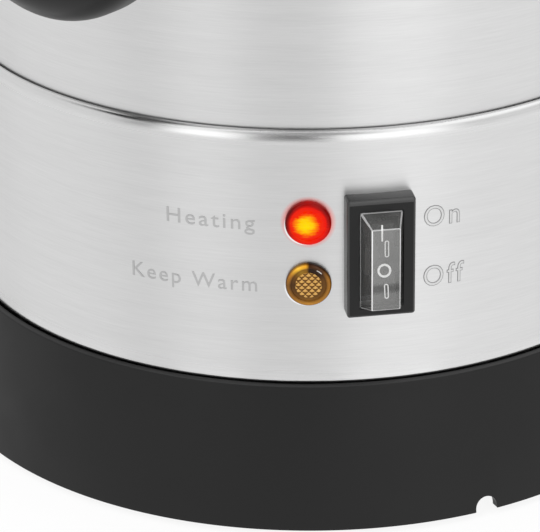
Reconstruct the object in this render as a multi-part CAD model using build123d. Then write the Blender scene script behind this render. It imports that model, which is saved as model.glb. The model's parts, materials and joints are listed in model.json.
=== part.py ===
from build123d import *

import math
import os

# Hot drink warmer with a tap: flared base, steel control band, double walled tank, lid.
# Millimetres. The axis of the tank is Z, the floor is z = 0 and the tap points to -Y.
# An azimuth is measured in degrees from the tap, towards +X.

# Flared base ring
FOOT_LIFT = 2.0
BASE_HEIGHT = 42.8
BASE_FLARE = 6.5
BASE_WALL = 2.6
LIP_GAP = 0.6
LIP_WALL = 1.3
LIP_ROUND = 0.6
LIP_DEPTH = 8.0
LEDGE_THICKNESS = 2.6
LEDGE_MARGIN = 2.0
NOTCH_COUNT = 4
NOTCH_AZIMUTH = 65.4
NOTCH_WIDTH = 7.0
NOTCH_HEIGHT = 4.4
NOTCH_CORNER = 0.9

# Base plate, feet and their screws
PLATE_SHEET = 1.6
PLATE_CLEARANCE = 0.3
VENT_COUNT = 16
VENT_MARGIN = 8.6
VENT_LENGTH = 26.0
VENT_WIDTH = 4.0
FOOT_RADIUS = 9.0
FOOT_TAPER = 0.8
FOOT_HEIGHT = 8.4
FOOT_POCKET = 4.2
BOSS_INSET = 10.0
BOSS_RADIUS = 6.0
RIB_THICKNESS = 2.0
FOOT_SCREW_RADIUS = 2.0
FOOT_SCREW_GRIP = 14.0
FOOT_SCREW_HEAD_RADIUS = 4.0
FOOT_SCREW_HEAD = 2.6
SCREW_SOCKET = 1.5

# Steel control band and outer jacket
BAND_RADIUS = 105.0
BAND_SHEET = 0.8
BAND_HEIGHT = 73.7
COLLAR_DEPTH = 8.0
SHELF_WIDTH = 4.0
BAND_STEP = 2.7
JACKET_SHEET = 0.8
JACKET_HEIGHT = 283.5
SEAM_GAP = 0.25

# Inner tank
TANK_GAP = 3.5
TANK_SHEET = 0.8
TANK_FLOOR_RISE = 31.5
TANK_CORNER = 3.0
TANK_WELD_LAND = 0.4
RIM_GAP = 0.2
RIM_DEPTH = 6.0
RIM_ROUND = 0.7

# Heater parts under the tank
SHIELD_SHEET = 0.6
SHIELD_CLEARANCE = 0.3
SPREADER_MARGIN = 23.0
SPREADER_HOLE = 10.0
SPREADER_THICKNESS = 5.0
ELEMENT_TUBE = 4.0
ELEMENT_SHARE = 0.8
WARM_TUBE = 3.0
WARM_SHARE = 0.55
ELEMENT_ARC = 320.0
ELEMENT_PIN = 2.0
ELEMENT_TAIL = 12.0
BRAZE_GAP = 0.05
SENSOR_SHARE = 0.3
SENSOR_RADIUS = 8.0
SENSOR_HEIGHT = 8.0
SENSOR_FLANGE = 2.0
SENSOR_FLANGE_HEIGHT = 1.2
FUSE_RADIUS = 3.0
FUSE_LENGTH = 14.0
BLOCK_LENGTH = 44.0
BLOCK_WIDTH = 18.0
BLOCK_HEIGHT = 16.0
BLOCK_PLACE = 40.0
BLOCK_POLES = 4
BLOCK_HOLE = 2.2
TIE_RADIUS = 3.0
TIE_NUT_FLATS = 10.0
TIE_NUT_HEIGHT = 5.0
TIE_END = 1.0

# Indicator lamps
LAMP_AZIMUTH = 39.45
HEAT_LAMP_DROP = 26.0
WARM_LAMP_DROP = 44.5
LENS_RADIUS = 6.25
LENS_PROUD = 1.6
LENS_ROUND = 0.9
LENS_RING_WIDTH = 1.5
LENS_RECESS = 0.5
LENS_CORE_RADIUS = 3.75
LENS_STEM_RADIUS = 4.0
LENS_STEM = 8.0
LAMP_WALL = 0.9
LAMP_LENGTH = 24.0
LAMP_NUT_FLATS = 14.0
LAMP_NUT_HEIGHT = 3.5

# Rocker switch with a clear boot
SWITCH_AZIMUTH = 49.8
SWITCH_DROP = 35.9
FRAME_WIDTH = 18.3
FRAME_HEIGHT = 34.2
FRAME_RISE = 0.7
FRAME_PROUD = 4.5
FRAME_CORNER = 1.6
FRAME_ROUND = 1.2
FRAME_STEP = 2.0
BOOT_BASE_WIDTH = 11.7
BOOT_BASE_HEIGHT = 28.2
BOOT_FACE_WIDTH = 7.9
BOOT_FACE_HEIGHT = 23.9
BOOT_PROUD = 6.6
BOOT_WALL = 0.7
BOOT_CORNER = 1.4
SWITCH_BODY_WIDTH = 13.0
SWITCH_BODY_HEIGHT = 26.0
SWITCH_BODY_DEPTH = 20.0
SWITCH_BODY_WALL = 1.5
SWITCH_TAB_WIDTH = 4.8
SWITCH_TAB_LENGTH = 8.0
ROCKER_WIDTH = 6.0
ROCKER_LENGTH = 22.0
ROCKER_PIVOT = 3.0
ROCKER_FACE = 7.4
ROCKER_DISH = 0.9
ROCKER_END = 3.0
ROCKER_HUB = 1.8
ROCKER_TILT = 8.0
TRUNNION_RADIUS = 1.25
CHEEK_THICKNESS = 1.4
CHEEK_RISE = 2.0
CHEEK_HALF = 4.0

# Tap
TAP_RISE = 61.3
FLANGE_RADIUS = 37.0
FLANGE_DEPTH = 16.6
FLANGE_ROUND = 14.1
FLANGE_WALL = 2.5
SHANK_RADIUS = 8.0
BARREL_RADIUS = 12.0
COLLAR_RADIUS = 16.0
COLLAR_THICKNESS = 4.0
GASKET_RADIUS = 15.0
GASKET_THICKNESS = 2.5
TAP_BORE = 6.0
SPOUT_REACH = 50.0
CHAMBER_RADIUS = 16.0
CHAMBER_WALL = 3.5
CHAMBER_RISE = 16.0
SEAT_DROP = 13.0
SEAT_THICKNESS = 5.0
SPOUT_TOP_RADIUS = 14.0
SPOUT_TIP_RADIUS = 10.5
SPOUT_LENGTH = 34.0
SPOUT_BORE = 7.5
SPIGOT_RADIUS = 10.5
LOCK_NUT_FLATS = 26.0
LOCK_NUT_HEIGHT = 7.0
SHANK_SPARE = 2.0
BONNET_RADIUS = 17.0
BONNET_HEIGHT = 10.0
BONNET_PLUG = 8.0
BONNET_ROUND = 2.0
STEM_RADIUS = 3.0
STEM_TOP = 3.5
CUP_RADIUS = 10.0
CUP_HEIGHT = 6.0
CUP_GRIP = 4.0
SPRING_RADIUS = 6.5
SPRING_WIRE = 1.4
SPRING_SEAT_GAP = 0.1
PIN_RISE = 8.0
PIN_RADIUS = 1.5
PIN_SPARE = 0.4
LEVER_ANGLE = 60.0
STEM_LIFT = 4.0
CAM_GAP = 0.3
LEVER_SIDE_GAP = 0.3
LEVER_CHEEK = 3.5
LEVER_HEEL = 4.5
LEVER_BRIDGE = 6.5
LEVER_NECK = 8.0
LEVER_LENGTH = 46.0
LEVER_NECK_DEPTH = 9.0
LEVER_TIP_WIDTH = 17.0
LEVER_TIP_DEPTH = 6.0
LEVER_CORNER = 2.5

# Side handles
HANDLE_DROP = 89.2
HANDLE_HALF_ANGLE = 22.0
HANDLE_STAND = 46.0
HANDLE_BAR = 8.0
HANDLE_BEND = 18.0
PAD_RADIUS = 13.0
PAD_THICKNESS = 6.0
HANDLE_SCREW_RADIUS = 2.4
HANDLE_SCREW_GRIP = 16.0
HANDLE_SCREW_HEAD_RADIUS = 4.5
HANDLE_SCREW_HEAD = 2.2

# Power inlet at the back of the band
INLET_DROP = 35.1
INLET_WIDTH = 22.6
INLET_HEIGHT = 50.0
INLET_PROUD = 2.6
INLET_CORNER = 5.0
INLET_BODY_WIDTH = 19.8
INLET_BODY_HEIGHT = 27.3
INLET_BODY_DEPTH = 24.0
INLET_MOUTH_WIDTH = 15.5
INLET_MOUTH_HEIGHT = 24.0
INLET_MOUTH_DEPTH = 18.0
INLET_MOUTH_CORNER = 3.0
INLET_PIN_LENGTH = 13.0
INLET_PIN_TAIL = 9.0
INLET_PIN_WIDTH = 2.0
INLET_PIN_HEIGHT = 4.0
INLET_PIN_SPACING = 7.0
INLET_EARTH_OFFSET = 4.0
INLET_SCREW_SPACING = 40.0
INLET_SCREW_RADIUS = 1.5
INLET_SCREW_LENGTH = 9.0
INLET_SCREW_HEAD_RADIUS = 2.9
INLET_SCREW_HEAD = 1.6

# Lid
LID_OVERHANG = 0.5
LID_SHEET = 1.0
LID_RISE = 15.0
LID_BRIM = 14.0
LID_FIT = 0.6
LID_RING_DEPTH = 12.0
LID_RING_SHEET = 0.8
STEAM_HOLE_RADIUS = 1.5
STEAM_HOLE_RING = 45.0
STEAM_HOLE_COUNT = 3
STEAM_HOLE_STEP = 8.0
KNOB_COLLAR_RADIUS = 19.0
KNOB_COLLAR_THICKNESS = 3.0
KNOB_NECK_RADIUS = 9.0
KNOB_HEAD_RADIUS = 19.0
KNOB_HEIGHT = 34.0
KNOB_HEAD_HEIGHT = 16.0
KNOB_ROUND = 6.0
KNOB_SCREW_RADIUS = 2.5
KNOB_SCREW_GRIP = 18.0
KNOB_SCREW_HEAD_RADIUS = 5.0
KNOB_SCREW_HEAD = 3.0

# Fits
HOLE_CLEARANCE = 0.2
THREAD_FIT = 0.05
RUNNING_FIT = 0.05
PANEL_FIT = 0.15
SADDLE_GAP = 0.05
OVERCUT = 2.0

# Places worked out from the sizes above
base_top = FOOT_LIFT + BASE_HEIGHT
lip_inner_radius = BAND_RADIUS + LIP_GAP
lip_outer_radius = lip_inner_radius + LIP_WALL
base_foot_radius = lip_outer_radius + BASE_FLARE
band_bottom = base_top - LIP_DEPTH
band_top = base_top + BAND_HEIGHT
band_inner_radius = BAND_RADIUS - BAND_SHEET
ledge_under = band_bottom - LEDGE_THICKNESS
boss_circle = lip_inner_radius - BOSS_INSET
ledge_inner_radius = boss_circle - BOSS_RADIUS - LEDGE_MARGIN
boss_azimuth = NOTCH_AZIMUTH + 180.0 / NOTCH_COUNT
boss_azimuths = [boss_azimuth + 360.0 * i / NOTCH_COUNT for i in range(NOTCH_COUNT)]
vent_ring = ledge_inner_radius - VENT_MARGIN - VENT_LENGTH / 2
plate_top = FOOT_HEIGHT + PLATE_SHEET
jacket_radius = BAND_RADIUS - BAND_STEP
jacket_bottom = band_top - COLLAR_DEPTH
jacket_top = band_top + JACKET_HEIGHT
jacket_inner_radius = jacket_radius - JACKET_SHEET
tank_outer_radius = jacket_inner_radius - TANK_GAP
tank_inner_radius = tank_outer_radius - TANK_SHEET
rim_inner_radius = jacket_radius + RIM_GAP
rim_outer_radius = rim_inner_radius + TANK_SHEET
rim_top = jacket_top + TANK_SHEET
tank_floor = band_top + TANK_FLOOR_RISE
tank_weld = tank_floor + TANK_CORNER + TANK_WELD_LAND
spreader_radius = tank_outer_radius - TANK_CORNER - SPREADER_MARGIN
spreader_under = tank_floor - SPREADER_THICKNESS
element_ring = ELEMENT_SHARE * spreader_radius
warm_ring = WARM_SHARE * spreader_radius
sensor_ring = SENSOR_SHARE * spreader_radius
lamp_heights = {"heating": band_top - HEAT_LAMP_DROP, "keep_warm": band_top - WARM_LAMP_DROP}
lamp_outer_radius = LENS_STEM_RADIUS + RUNNING_FIT + LAMP_WALL
switch_height = band_top - SWITCH_DROP
inlet_height = band_top - INLET_DROP
handle_height = jacket_top - HANDLE_DROP
handle_azimuths = {"right": 90.0, "left": 270.0}
tap_height = band_top + TAP_RISE
tap_y = -(jacket_radius + SPOUT_REACH)
tank_wall_depth = jacket_radius - tank_inner_radius
seat_height = tap_height - SEAT_DROP
chamber_under = seat_height - SEAT_THICKNESS
cup_top = seat_height + CUP_HEIGHT
chamber_top = tap_height + CHAMBER_RISE
bonnet_under = chamber_top - BONNET_PLUG
bonnet_top = chamber_top + BONNET_HEIGHT
pin_height = bonnet_top + PIN_RISE
lever_inner = STEM_RADIUS + LEVER_SIDE_GAP
lever_outer = lever_inner + LEVER_CHEEK
cam_rate = STEM_LIFT / math.radians(LEVER_ANGLE)
lid_radius = rim_outer_radius + LID_OVERHANG
dome_radius = lid_radius - LID_BRIM
dome_sphere = (dome_radius**2 + LID_RISE**2) / (2 * LID_RISE)
dome_top = rim_top + LID_SHEET + LID_RISE
collar_top = dome_top + KNOB_COLLAR_THICKNESS
overall_height = collar_top + KNOB_HEIGHT

STANDING = (Align.CENTER, Align.CENTER, Align.MIN)


def rod(radius, start, end):
    """Round bar along local z."""
    return Pos(0, 0, start) * Cylinder(radius, end - start, align=STANDING)


def tube(outer, inner, start, end):
    """Round sleeve along local z."""
    return rod(outer, start, end) - rod(inner, start - OVERCUT, end + OVERCUT)


def block(width, height, start, end, corner=0.0):
    """Bar of rectangular section along local z, with rounded corners if asked."""
    if corner > 0:
        section = RectangleRounded(width, height, corner)
    else:
        section = Rectangle(width, height)
    return extrude(Pos(0, 0, start) * section, end - start)


def hexagon(flats, start, end):
    """Six sided bar along local z, measured across its flats."""
    return extrude(Pos(0, 0, start) * RegularPolygon(flats / 2, 6, major_radius=False), end - start)


def drum(radius):
    """Solid cylinder about the tank's axis, taller than everything."""
    return rod(radius, -OVERCUT, overall_height + OVERCUT)


def polygon(points):
    """Face from corner points."""
    return make_face(Polyline(*points, close=True))


def rounded(face, point, radius):
    """The same face with the corner nearest to a point rounded."""
    corner = face.vertices().sort_by_distance((point[0], point[1], 0))[0]
    return fillet(corner, radius)


def turned(face):
    """Solid of revolution about Z, from a face drawn in radius and height."""
    return revolve(Plane.XZ * face, Axis.Z)


def wall_plane(azimuth, radius, height):
    """Plane on a round wall: x to the right, y up, z outwards."""
    a = math.radians(azimuth)
    return Plane(
        origin=(radius * math.sin(a), -radius * math.cos(a), height),
        x_dir=(math.cos(a), math.sin(a), 0),
        z_dir=(math.sin(a), -math.cos(a), 0),
    )


def boss_places():
    """Where the four screws, feet and bosses stand."""
    places = []
    for azimuth in boss_azimuths:
        a = math.radians(azimuth)
        places.append(Pos(boss_circle * math.sin(a), -boss_circle * math.cos(a), 0))
    return places


def base_outer_radius(height):
    """Outside radius of the flared base at a height."""
    share = (height - FOOT_LIFT) / BASE_HEIGHT
    return base_foot_radius + (lip_outer_radius - base_foot_radius) * share


def notch_cutter(azimuth):
    """Small arch with eased mouth corners, cut through the foot of the base."""
    arch_radius = NOTCH_WIDTH / 2
    spring_line = NOTCH_HEIGHT - arch_radius
    arch = Pos(0, spring_line) * Circle(arch_radius)
    arch += Pos(0, (spring_line - OVERCUT) / 2) * Rectangle(NOTCH_WIDTH, spring_line + OVERCUT)
    mouth_width = NOTCH_WIDTH + 2 * NOTCH_CORNER
    mouth = Pos(0, (NOTCH_CORNER - OVERCUT) / 2) * Rectangle(mouth_width, NOTCH_CORNER + OVERCUT)
    for side in (-1, 1):
        mouth -= Pos(side * mouth_width / 2, NOTCH_CORNER) * Circle(NOTCH_CORNER)
    depth = BASE_WALL + 2 * OVERCUT
    place = wall_plane(azimuth, base_foot_radius + OVERCUT / 2, FOOT_LIFT)
    return place * extrude(Pos(0, 0, -depth) * (arch + mouth), depth)


def make_base_ring():
    """Flared skirt with the ledge that carries the band, screw bosses and ribs."""
    outline = polygon([
        (base_foot_radius, FOOT_LIFT),
        (lip_outer_radius, base_top),
        (lip_inner_radius, base_top),
        (lip_inner_radius, band_bottom),
        (ledge_inner_radius, band_bottom),
        (ledge_inner_radius, ledge_under),
        (base_outer_radius(ledge_under) - BASE_WALL, ledge_under),
        (base_foot_radius - BASE_WALL, FOOT_LIFT),
    ])
    lip_round = min(LIP_ROUND, 0.45 * LIP_WALL)
    outline = rounded(outline, (lip_outer_radius, base_top), lip_round)
    outline = rounded(outline, (lip_inner_radius, base_top), lip_round)
    ring = turned(outline)
    rib_outline = polygon([
        (boss_circle, plate_top),
        (base_outer_radius(plate_top) - BASE_WALL / 2, plate_top),
        (base_outer_radius(ledge_under) - BASE_WALL / 2, ledge_under),
        (boss_circle, ledge_under),
    ])
    rib = extrude(Plane.XZ * rib_outline, RIB_THICKNESS / 2, both=True)
    for azimuth in boss_azimuths:
        ring += Rot(0, 0, azimuth - 90) * rib
    for place in boss_places():
        ring += place * rod(BOSS_RADIUS, plate_top, band_bottom)
    for place in boss_places():
        ring -= place * rod(FOOT_SCREW_RADIUS + THREAD_FIT, plate_top - OVERCUT, ledge_under)
    for i in range(NOTCH_COUNT):
        ring -= notch_cutter(NOTCH_AZIMUTH + 360.0 * i / NOTCH_COUNT)
    return ring


def make_base_plate():
    """Vented steel floor of the base."""
    radius = base_outer_radius(plate_top) - BASE_WALL - PLATE_CLEARANCE
    plate = rod(radius, FOOT_HEIGHT, plate_top)
    plate -= rod(TIE_RADIUS + HOLE_CLEARANCE, FOOT_HEIGHT - OVERCUT, plate_top + OVERCUT)
    for place in boss_places():
        plate -= place * rod(FOOT_SCREW_RADIUS + HOLE_CLEARANCE, FOOT_HEIGHT - OVERCUT, plate_top + OVERCUT)
    slot = extrude(Pos(0, 0, FOOT_HEIGHT - OVERCUT) * SlotOverall(VENT_LENGTH, VENT_WIDTH), 3 * OVERCUT)
    for i in range(VENT_COUNT):
        plate -= Rot(0, 0, 360.0 * (i + 0.5) / VENT_COUNT) * Pos(vent_ring, 0, 0) * slot
    return plate


def make_rubber_feet():
    """Four tapered feet with a pocket for the screw head."""
    foot = Cone(FOOT_RADIUS - FOOT_TAPER, FOOT_RADIUS, FOOT_HEIGHT, align=STANDING)
    foot -= rod(FOOT_SCREW_HEAD_RADIUS + HOLE_CLEARANCE, -OVERCUT, FOOT_POCKET)
    foot -= rod(FOOT_SCREW_RADIUS + HOLE_CLEARANCE, 0, FOOT_HEIGHT + OVERCUT)
    return Compound([place * foot for place in boss_places()])


def make_foot_screws():
    """Four screws through foot and plate into the bosses."""
    screw = rod(FOOT_SCREW_HEAD_RADIUS, FOOT_POCKET - FOOT_SCREW_HEAD, FOOT_POCKET)
    screw += rod(FOOT_SCREW_RADIUS, FOOT_POCKET, plate_top + FOOT_SCREW_GRIP)
    head_face = FOOT_POCKET - FOOT_SCREW_HEAD
    screw -= hexagon(FOOT_SCREW_RADIUS * 2, head_face - OVERCUT, head_face + SCREW_SOCKET)
    return Compound([place * screw for place in boss_places()])


def make_tie_rod():
    """Stud under the tank that pulls the whole stack together."""
    return rod(TIE_RADIUS, FOOT_HEIGHT - TIE_NUT_HEIGHT - TIE_END, tank_floor)


def make_tie_nut():
    """Nut below the base plate."""
    nut = hexagon(TIE_NUT_FLATS, FOOT_HEIGHT - TIE_NUT_HEIGHT, FOOT_HEIGHT)
    return nut - rod(TIE_RADIUS + THREAD_FIT, 0, FOOT_HEIGHT + OVERCUT)


def lamp_place(name):
    """Plane on the band at a lamp's centre."""
    return wall_plane(LAMP_AZIMUTH, BAND_RADIUS, lamp_heights[name])


def switch_place():
    """Plane on the band at the switch's centre."""
    return wall_plane(SWITCH_AZIMUTH, BAND_RADIUS, switch_height)


def inlet_place():
    """Plane on the back of the band at the inlet's centre."""
    return wall_plane(180.0, BAND_RADIUS, inlet_height)


def tap_place():
    """Plane on the jacket at the tap's axis."""
    return wall_plane(0.0, jacket_radius, tap_height)


def inlet_screw_places():
    """The two screw points of the inlet's flange."""
    return [inlet_place() * Pos(0, side * INLET_SCREW_SPACING / 2, 0) for side in (-1, 1)]


def make_control_band():
    """Sheet steel band: rounded shoulder, folded collar and a shelf for the jacket."""
    collar_inner = jacket_radius + SEAM_GAP
    shoulder = BAND_RADIUS - collar_inner
    spring_line = band_top - shoulder
    diagonal = math.sqrt(0.5)
    inner_shoulder = shoulder - BAND_SHEET
    outline = Line((band_inner_radius, band_bottom), (BAND_RADIUS, band_bottom))
    outline += Line((BAND_RADIUS, band_bottom), (BAND_RADIUS, spring_line))
    outline += ThreePointArc(
        (BAND_RADIUS, spring_line),
        (collar_inner + shoulder * diagonal, spring_line + shoulder * diagonal),
        (collar_inner, band_top),
    )
    outline += Line((collar_inner, band_top), (collar_inner, band_top - BAND_SHEET))
    outline += ThreePointArc(
        (collar_inner, band_top - BAND_SHEET),
        (collar_inner + inner_shoulder * diagonal, spring_line + inner_shoulder * diagonal),
        (band_inner_radius, spring_line),
    )
    outline += Line((band_inner_radius, spring_line), (band_inner_radius, band_bottom))
    band = turned(make_face(outline))
    collar_outer = collar_inner + BAND_SHEET
    shelf_under = jacket_bottom - BAND_SHEET
    band += tube(collar_outer, collar_inner, shelf_under, band_top - BAND_SHEET / 2)
    band += tube(collar_outer, collar_outer - SHELF_WIDTH, shelf_under, jacket_bottom)
    hole = rod(lamp_outer_radius + HOLE_CLEARANCE, -LAMP_LENGTH, LENS_PROUD)
    for name in lamp_heights:
        band -= lamp_place(name) * hole
    window_width = SWITCH_BODY_WIDTH + 2 * PANEL_FIT
    window_height = SWITCH_BODY_HEIGHT + 2 * PANEL_FIT
    band -= switch_place() * block(window_width, window_height, -SWITCH_BODY_DEPTH, FRAME_PROUD)
    inlet_width = INLET_BODY_WIDTH + 2 * PANEL_FIT
    inlet_window = INLET_BODY_HEIGHT + 2 * PANEL_FIT
    band -= inlet_place() * block(inlet_width, inlet_window, -INLET_BODY_DEPTH, INLET_PROUD)
    for place in inlet_screw_places():
        band -= place * rod(INLET_SCREW_RADIUS + HOLE_CLEARANCE, -INLET_SCREW_LENGTH, INLET_PROUD)
    return band


def handle_screw_places():
    """Planes on the jacket at the four handle screws."""
    places = []
    for azimuth in handle_azimuths.values():
        for side in (-1, 1):
            places.append(wall_plane(azimuth + side * HANDLE_HALF_ANGLE, jacket_radius, handle_height))
    return places


def make_outer_jacket():
    """Steel outer wall, standing on the band's shelf."""
    jacket = tube(jacket_radius, jacket_inner_radius, jacket_bottom, jacket_top)
    jacket -= tap_place() * rod(SHANK_RADIUS + HOLE_CLEARANCE, -2 * tank_wall_depth, FLANGE_DEPTH)
    for place in handle_screw_places():
        jacket -= place * rod(HANDLE_SCREW_RADIUS + HOLE_CLEARANCE, -TANK_GAP, PAD_THICKNESS)
    return jacket


def make_tank_wall():
    """Inner wall of the tank, its rim folded over the jacket."""
    outline = polygon([
        (tank_outer_radius, tank_weld),
        (tank_outer_radius, jacket_top),
        (rim_inner_radius, jacket_top),
        (rim_inner_radius, jacket_top - RIM_DEPTH),
        (rim_outer_radius, jacket_top - RIM_DEPTH),
        (rim_outer_radius, rim_top),
        (tank_inner_radius, rim_top),
        (tank_inner_radius, tank_weld),
    ])
    outline = rounded(outline, (rim_outer_radius, rim_top), RIM_ROUND)
    wall = turned(outline)
    return wall - tap_place() * rod(SHANK_RADIUS + HOLE_CLEARANCE, -3 * tank_wall_depth, 0)


def make_tank_floor():
    """Pressed floor of the tank, welded to the wall."""
    floor_top = tank_floor + TANK_SHEET
    outline = polygon([
        (0, tank_floor),
        (tank_outer_radius, tank_floor),
        (tank_outer_radius, tank_weld),
        (tank_inner_radius, tank_weld),
        (tank_inner_radius, floor_top),
        (0, floor_top),
    ])
    outline = rounded(outline, (tank_outer_radius, tank_floor), TANK_CORNER)
    outline = rounded(outline, (tank_inner_radius, floor_top), TANK_CORNER - TANK_SHEET)
    return turned(outline)


def make_heat_shield():
    """Sheet disc on the band's shelf, between heater and wiring."""
    radius = jacket_inner_radius - SHIELD_CLEARANCE
    shield = rod(radius, jacket_bottom, jacket_bottom + SHIELD_SHEET)
    shield -= rod(TIE_RADIUS + HOLE_CLEARANCE, jacket_bottom - OVERCUT, jacket_bottom + OVERCUT)
    lead_hole = rod(SENSOR_RADIUS, jacket_bottom - OVERCUT, jacket_bottom + OVERCUT)
    for side in (-1, 1):
        shield -= Pos(0, side * warm_ring, 0) * lead_hole
    return shield


def make_heat_spreader():
    """Aluminium disc brazed under the tank floor."""
    return tube(spreader_radius, SPREADER_HOLE, spreader_under, tank_floor)


def make_ring_element(ring_radius, tube_radius, turn):
    """Open heater ring with two tails that point down."""
    height = spreader_under - BRAZE_GAP - tube_radius
    section = Plane.XZ * (Pos(ring_radius, height) * Circle(tube_radius))
    element = revolve(section, Axis.Z, ELEMENT_ARC)
    tail_inset = math.degrees(2 * ELEMENT_PIN / ring_radius)
    for angle in (tail_inset, ELEMENT_ARC - tail_inset):
        tail = rod(ELEMENT_PIN, height - tube_radius - ELEMENT_TAIL, height)
        element += Rot(0, 0, angle) * Pos(ring_radius, 0, 0) * tail
    return Rot(0, 0, turn) * element


def make_sensor(azimuth):
    """Disc thermostat with a mounting flange, against the spreader."""
    sensor = rod(SENSOR_RADIUS, spreader_under - SENSOR_HEIGHT, spreader_under)
    flange_radius = SENSOR_RADIUS + SENSOR_FLANGE
    sensor += rod(flange_radius, spreader_under - SENSOR_FLANGE_HEIGHT, spreader_under)
    return Rot(0, 0, azimuth) * Pos(sensor_ring, 0, 0) * sensor


def make_thermal_fuse():
    """Small cartridge held flat under the spreader."""
    height = spreader_under - BRAZE_GAP - FUSE_RADIUS
    fuse = rod(FUSE_RADIUS, -FUSE_LENGTH / 2, FUSE_LENGTH / 2)
    return Pos(0, sensor_ring, height) * Rot(0, 90, 0) * fuse


def make_terminal_block():
    """Four pole connector on the base plate."""
    body = Pos(0, BLOCK_PLACE, 0) * block(BLOCK_LENGTH, BLOCK_WIDTH, plate_top, plate_top + BLOCK_HEIGHT)
    pitch = BLOCK_LENGTH / BLOCK_POLES
    for i in range(BLOCK_POLES):
        x = (i + 0.5) * pitch - BLOCK_LENGTH / 2
        place = Pos(x, BLOCK_PLACE, plate_top + BLOCK_HEIGHT / 2) * Rot(90, 0, 0)
        body -= place * rod(BLOCK_HOLE, -BLOCK_WIDTH, BLOCK_WIDTH)
    return body


def make_lamp_lens(name):
    """Coloured lens: rounded rim, sunk ring and a raised core."""
    bezel_inner = LENS_RADIUS - LENS_RING_WIDTH
    face = polygon([
        (0, -LENS_STEM),
        (LENS_STEM_RADIUS, -LENS_STEM),
        (LENS_STEM_RADIUS, -BAND_SHEET),
        (LENS_RADIUS, -BAND_SHEET),
        (LENS_RADIUS, LENS_PROUD),
        (bezel_inner, LENS_PROUD),
        (bezel_inner, LENS_PROUD - LENS_RECESS),
        (LENS_CORE_RADIUS, LENS_PROUD - LENS_RECESS),
        (LENS_CORE_RADIUS, LENS_PROUD),
        (0, LENS_PROUD),
    ])
    face = rounded(face, (LENS_RADIUS, LENS_PROUD), min(LENS_ROUND, 0.9 * LENS_RING_WIDTH))
    lens = lamp_place(name) * turned(face)
    stem = lamp_place(name) * rod(LENS_STEM_RADIUS, -LENS_STEM, LENS_PROUD - 2 * LENS_RECESS)
    return (lens - drum(BAND_RADIUS + SADDLE_GAP)) + stem


def make_lamp_body(name):
    """Black holder of the lamp, through the band."""
    body = rod(lamp_outer_radius, -LAMP_LENGTH, -BAND_SHEET / 2)
    body -= rod(LENS_STEM_RADIUS + RUNNING_FIT, -LENS_STEM - RUNNING_FIT, OVERCUT)
    return lamp_place(name) * body


def make_lamp_nut(name):
    """Nut behind the band."""
    nut = hexagon(LAMP_NUT_FLATS, -BAND_SHEET - LAMP_NUT_HEIGHT, 0)
    nut -= rod(lamp_outer_radius + THREAD_FIT, -LAMP_LENGTH, OVERCUT)
    return (lamp_place(name) * nut) & drum(band_inner_radius - SADDLE_GAP)


def make_switch_frame():
    """Raised black frame round the boot."""
    frame = block(FRAME_WIDTH, FRAME_HEIGHT, -OVERCUT, FRAME_PROUD, FRAME_CORNER)
    front = frame.faces().sort_by(Axis.Z)[-1]
    frame = Pos(0, FRAME_RISE, 0) * fillet(front.edges(), FRAME_ROUND)
    window_width = BOOT_BASE_WIDTH + 2 * PANEL_FIT
    window_height = BOOT_BASE_HEIGHT + 2 * PANEL_FIT
    frame -= block(window_width, window_height, FRAME_STEP, FRAME_PROUD + OVERCUT, BOOT_CORNER)
    pocket_width = SWITCH_BODY_WIDTH + 2 * PANEL_FIT
    pocket_height = SWITCH_BODY_HEIGHT + 2 * PANEL_FIT
    frame -= block(pocket_width, pocket_height, -2 * OVERCUT, FRAME_STEP)
    return switch_place() * frame - drum(BAND_RADIUS + SADDLE_GAP)


def boot_form(shrink, start, end):
    """Tapered boot outline, shrunk evenly by a wall."""
    corner = BOOT_CORNER - shrink / 2
    foot = RectangleRounded(BOOT_BASE_WIDTH - 2 * shrink, BOOT_BASE_HEIGHT - 2 * shrink, corner)
    face = RectangleRounded(BOOT_FACE_WIDTH - 2 * shrink, BOOT_FACE_HEIGHT - 2 * shrink, corner)
    skirt = extrude(Pos(0, 0, start) * foot, FRAME_PROUD - start)
    return skirt + loft([Pos(0, 0, FRAME_PROUD) * foot, Pos(0, 0, end) * face])


def make_switch_boot():
    """Clear waterproof cover over the rocker."""
    boot_top = FRAME_PROUD + BOOT_PROUD
    boot = boot_form(0.0, FRAME_STEP, boot_top)
    boot -= boot_form(BOOT_WALL, FRAME_STEP - OVERCUT, boot_top - BOOT_WALL)
    return switch_place() * boot


def make_switch_body():
    """Switch housing behind the band, with the rocker's bearing cheeks and tabs."""
    top = FRAME_STEP - RUNNING_FIT
    body = block(SWITCH_BODY_WIDTH, SWITCH_BODY_HEIGHT, -SWITCH_BODY_DEPTH, top)
    well_width = SWITCH_BODY_WIDTH - 2 * SWITCH_BODY_WALL
    well_height = SWITCH_BODY_HEIGHT - 2 * SWITCH_BODY_WALL
    body -= block(well_width, well_height, SWITCH_BODY_WALL - SWITCH_BODY_DEPTH, top + OVERCUT)
    cheek_inner = ROCKER_WIDTH / 2 + HOLE_CLEARANCE
    cheek_top = ROCKER_PIVOT + CHEEK_RISE
    for side in (-1, 1):
        x = side * (cheek_inner + CHEEK_THICKNESS / 2)
        cheek = block(CHEEK_THICKNESS, 2 * CHEEK_HALF, SWITCH_BODY_WALL / 2 - SWITCH_BODY_DEPTH, cheek_top)
        body += Pos(x, 0, 0) * cheek
    axle = Rot(0, 90, 0) * rod(TRUNNION_RADIUS + RUNNING_FIT, -SWITCH_BODY_WIDTH, SWITCH_BODY_WIDTH)
    body -= Pos(0, 0, ROCKER_PIVOT) * axle
    tab = block(SWITCH_TAB_WIDTH, SWITCH_BODY_WALL / 2, -SWITCH_TAB_LENGTH, SWITCH_BODY_WALL / 2)
    for i in (-1, 0, 1):
        body += Pos(0, i * SWITCH_BODY_HEIGHT / 3, -SWITCH_BODY_DEPTH) * tab
    return switch_place() * body


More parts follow.
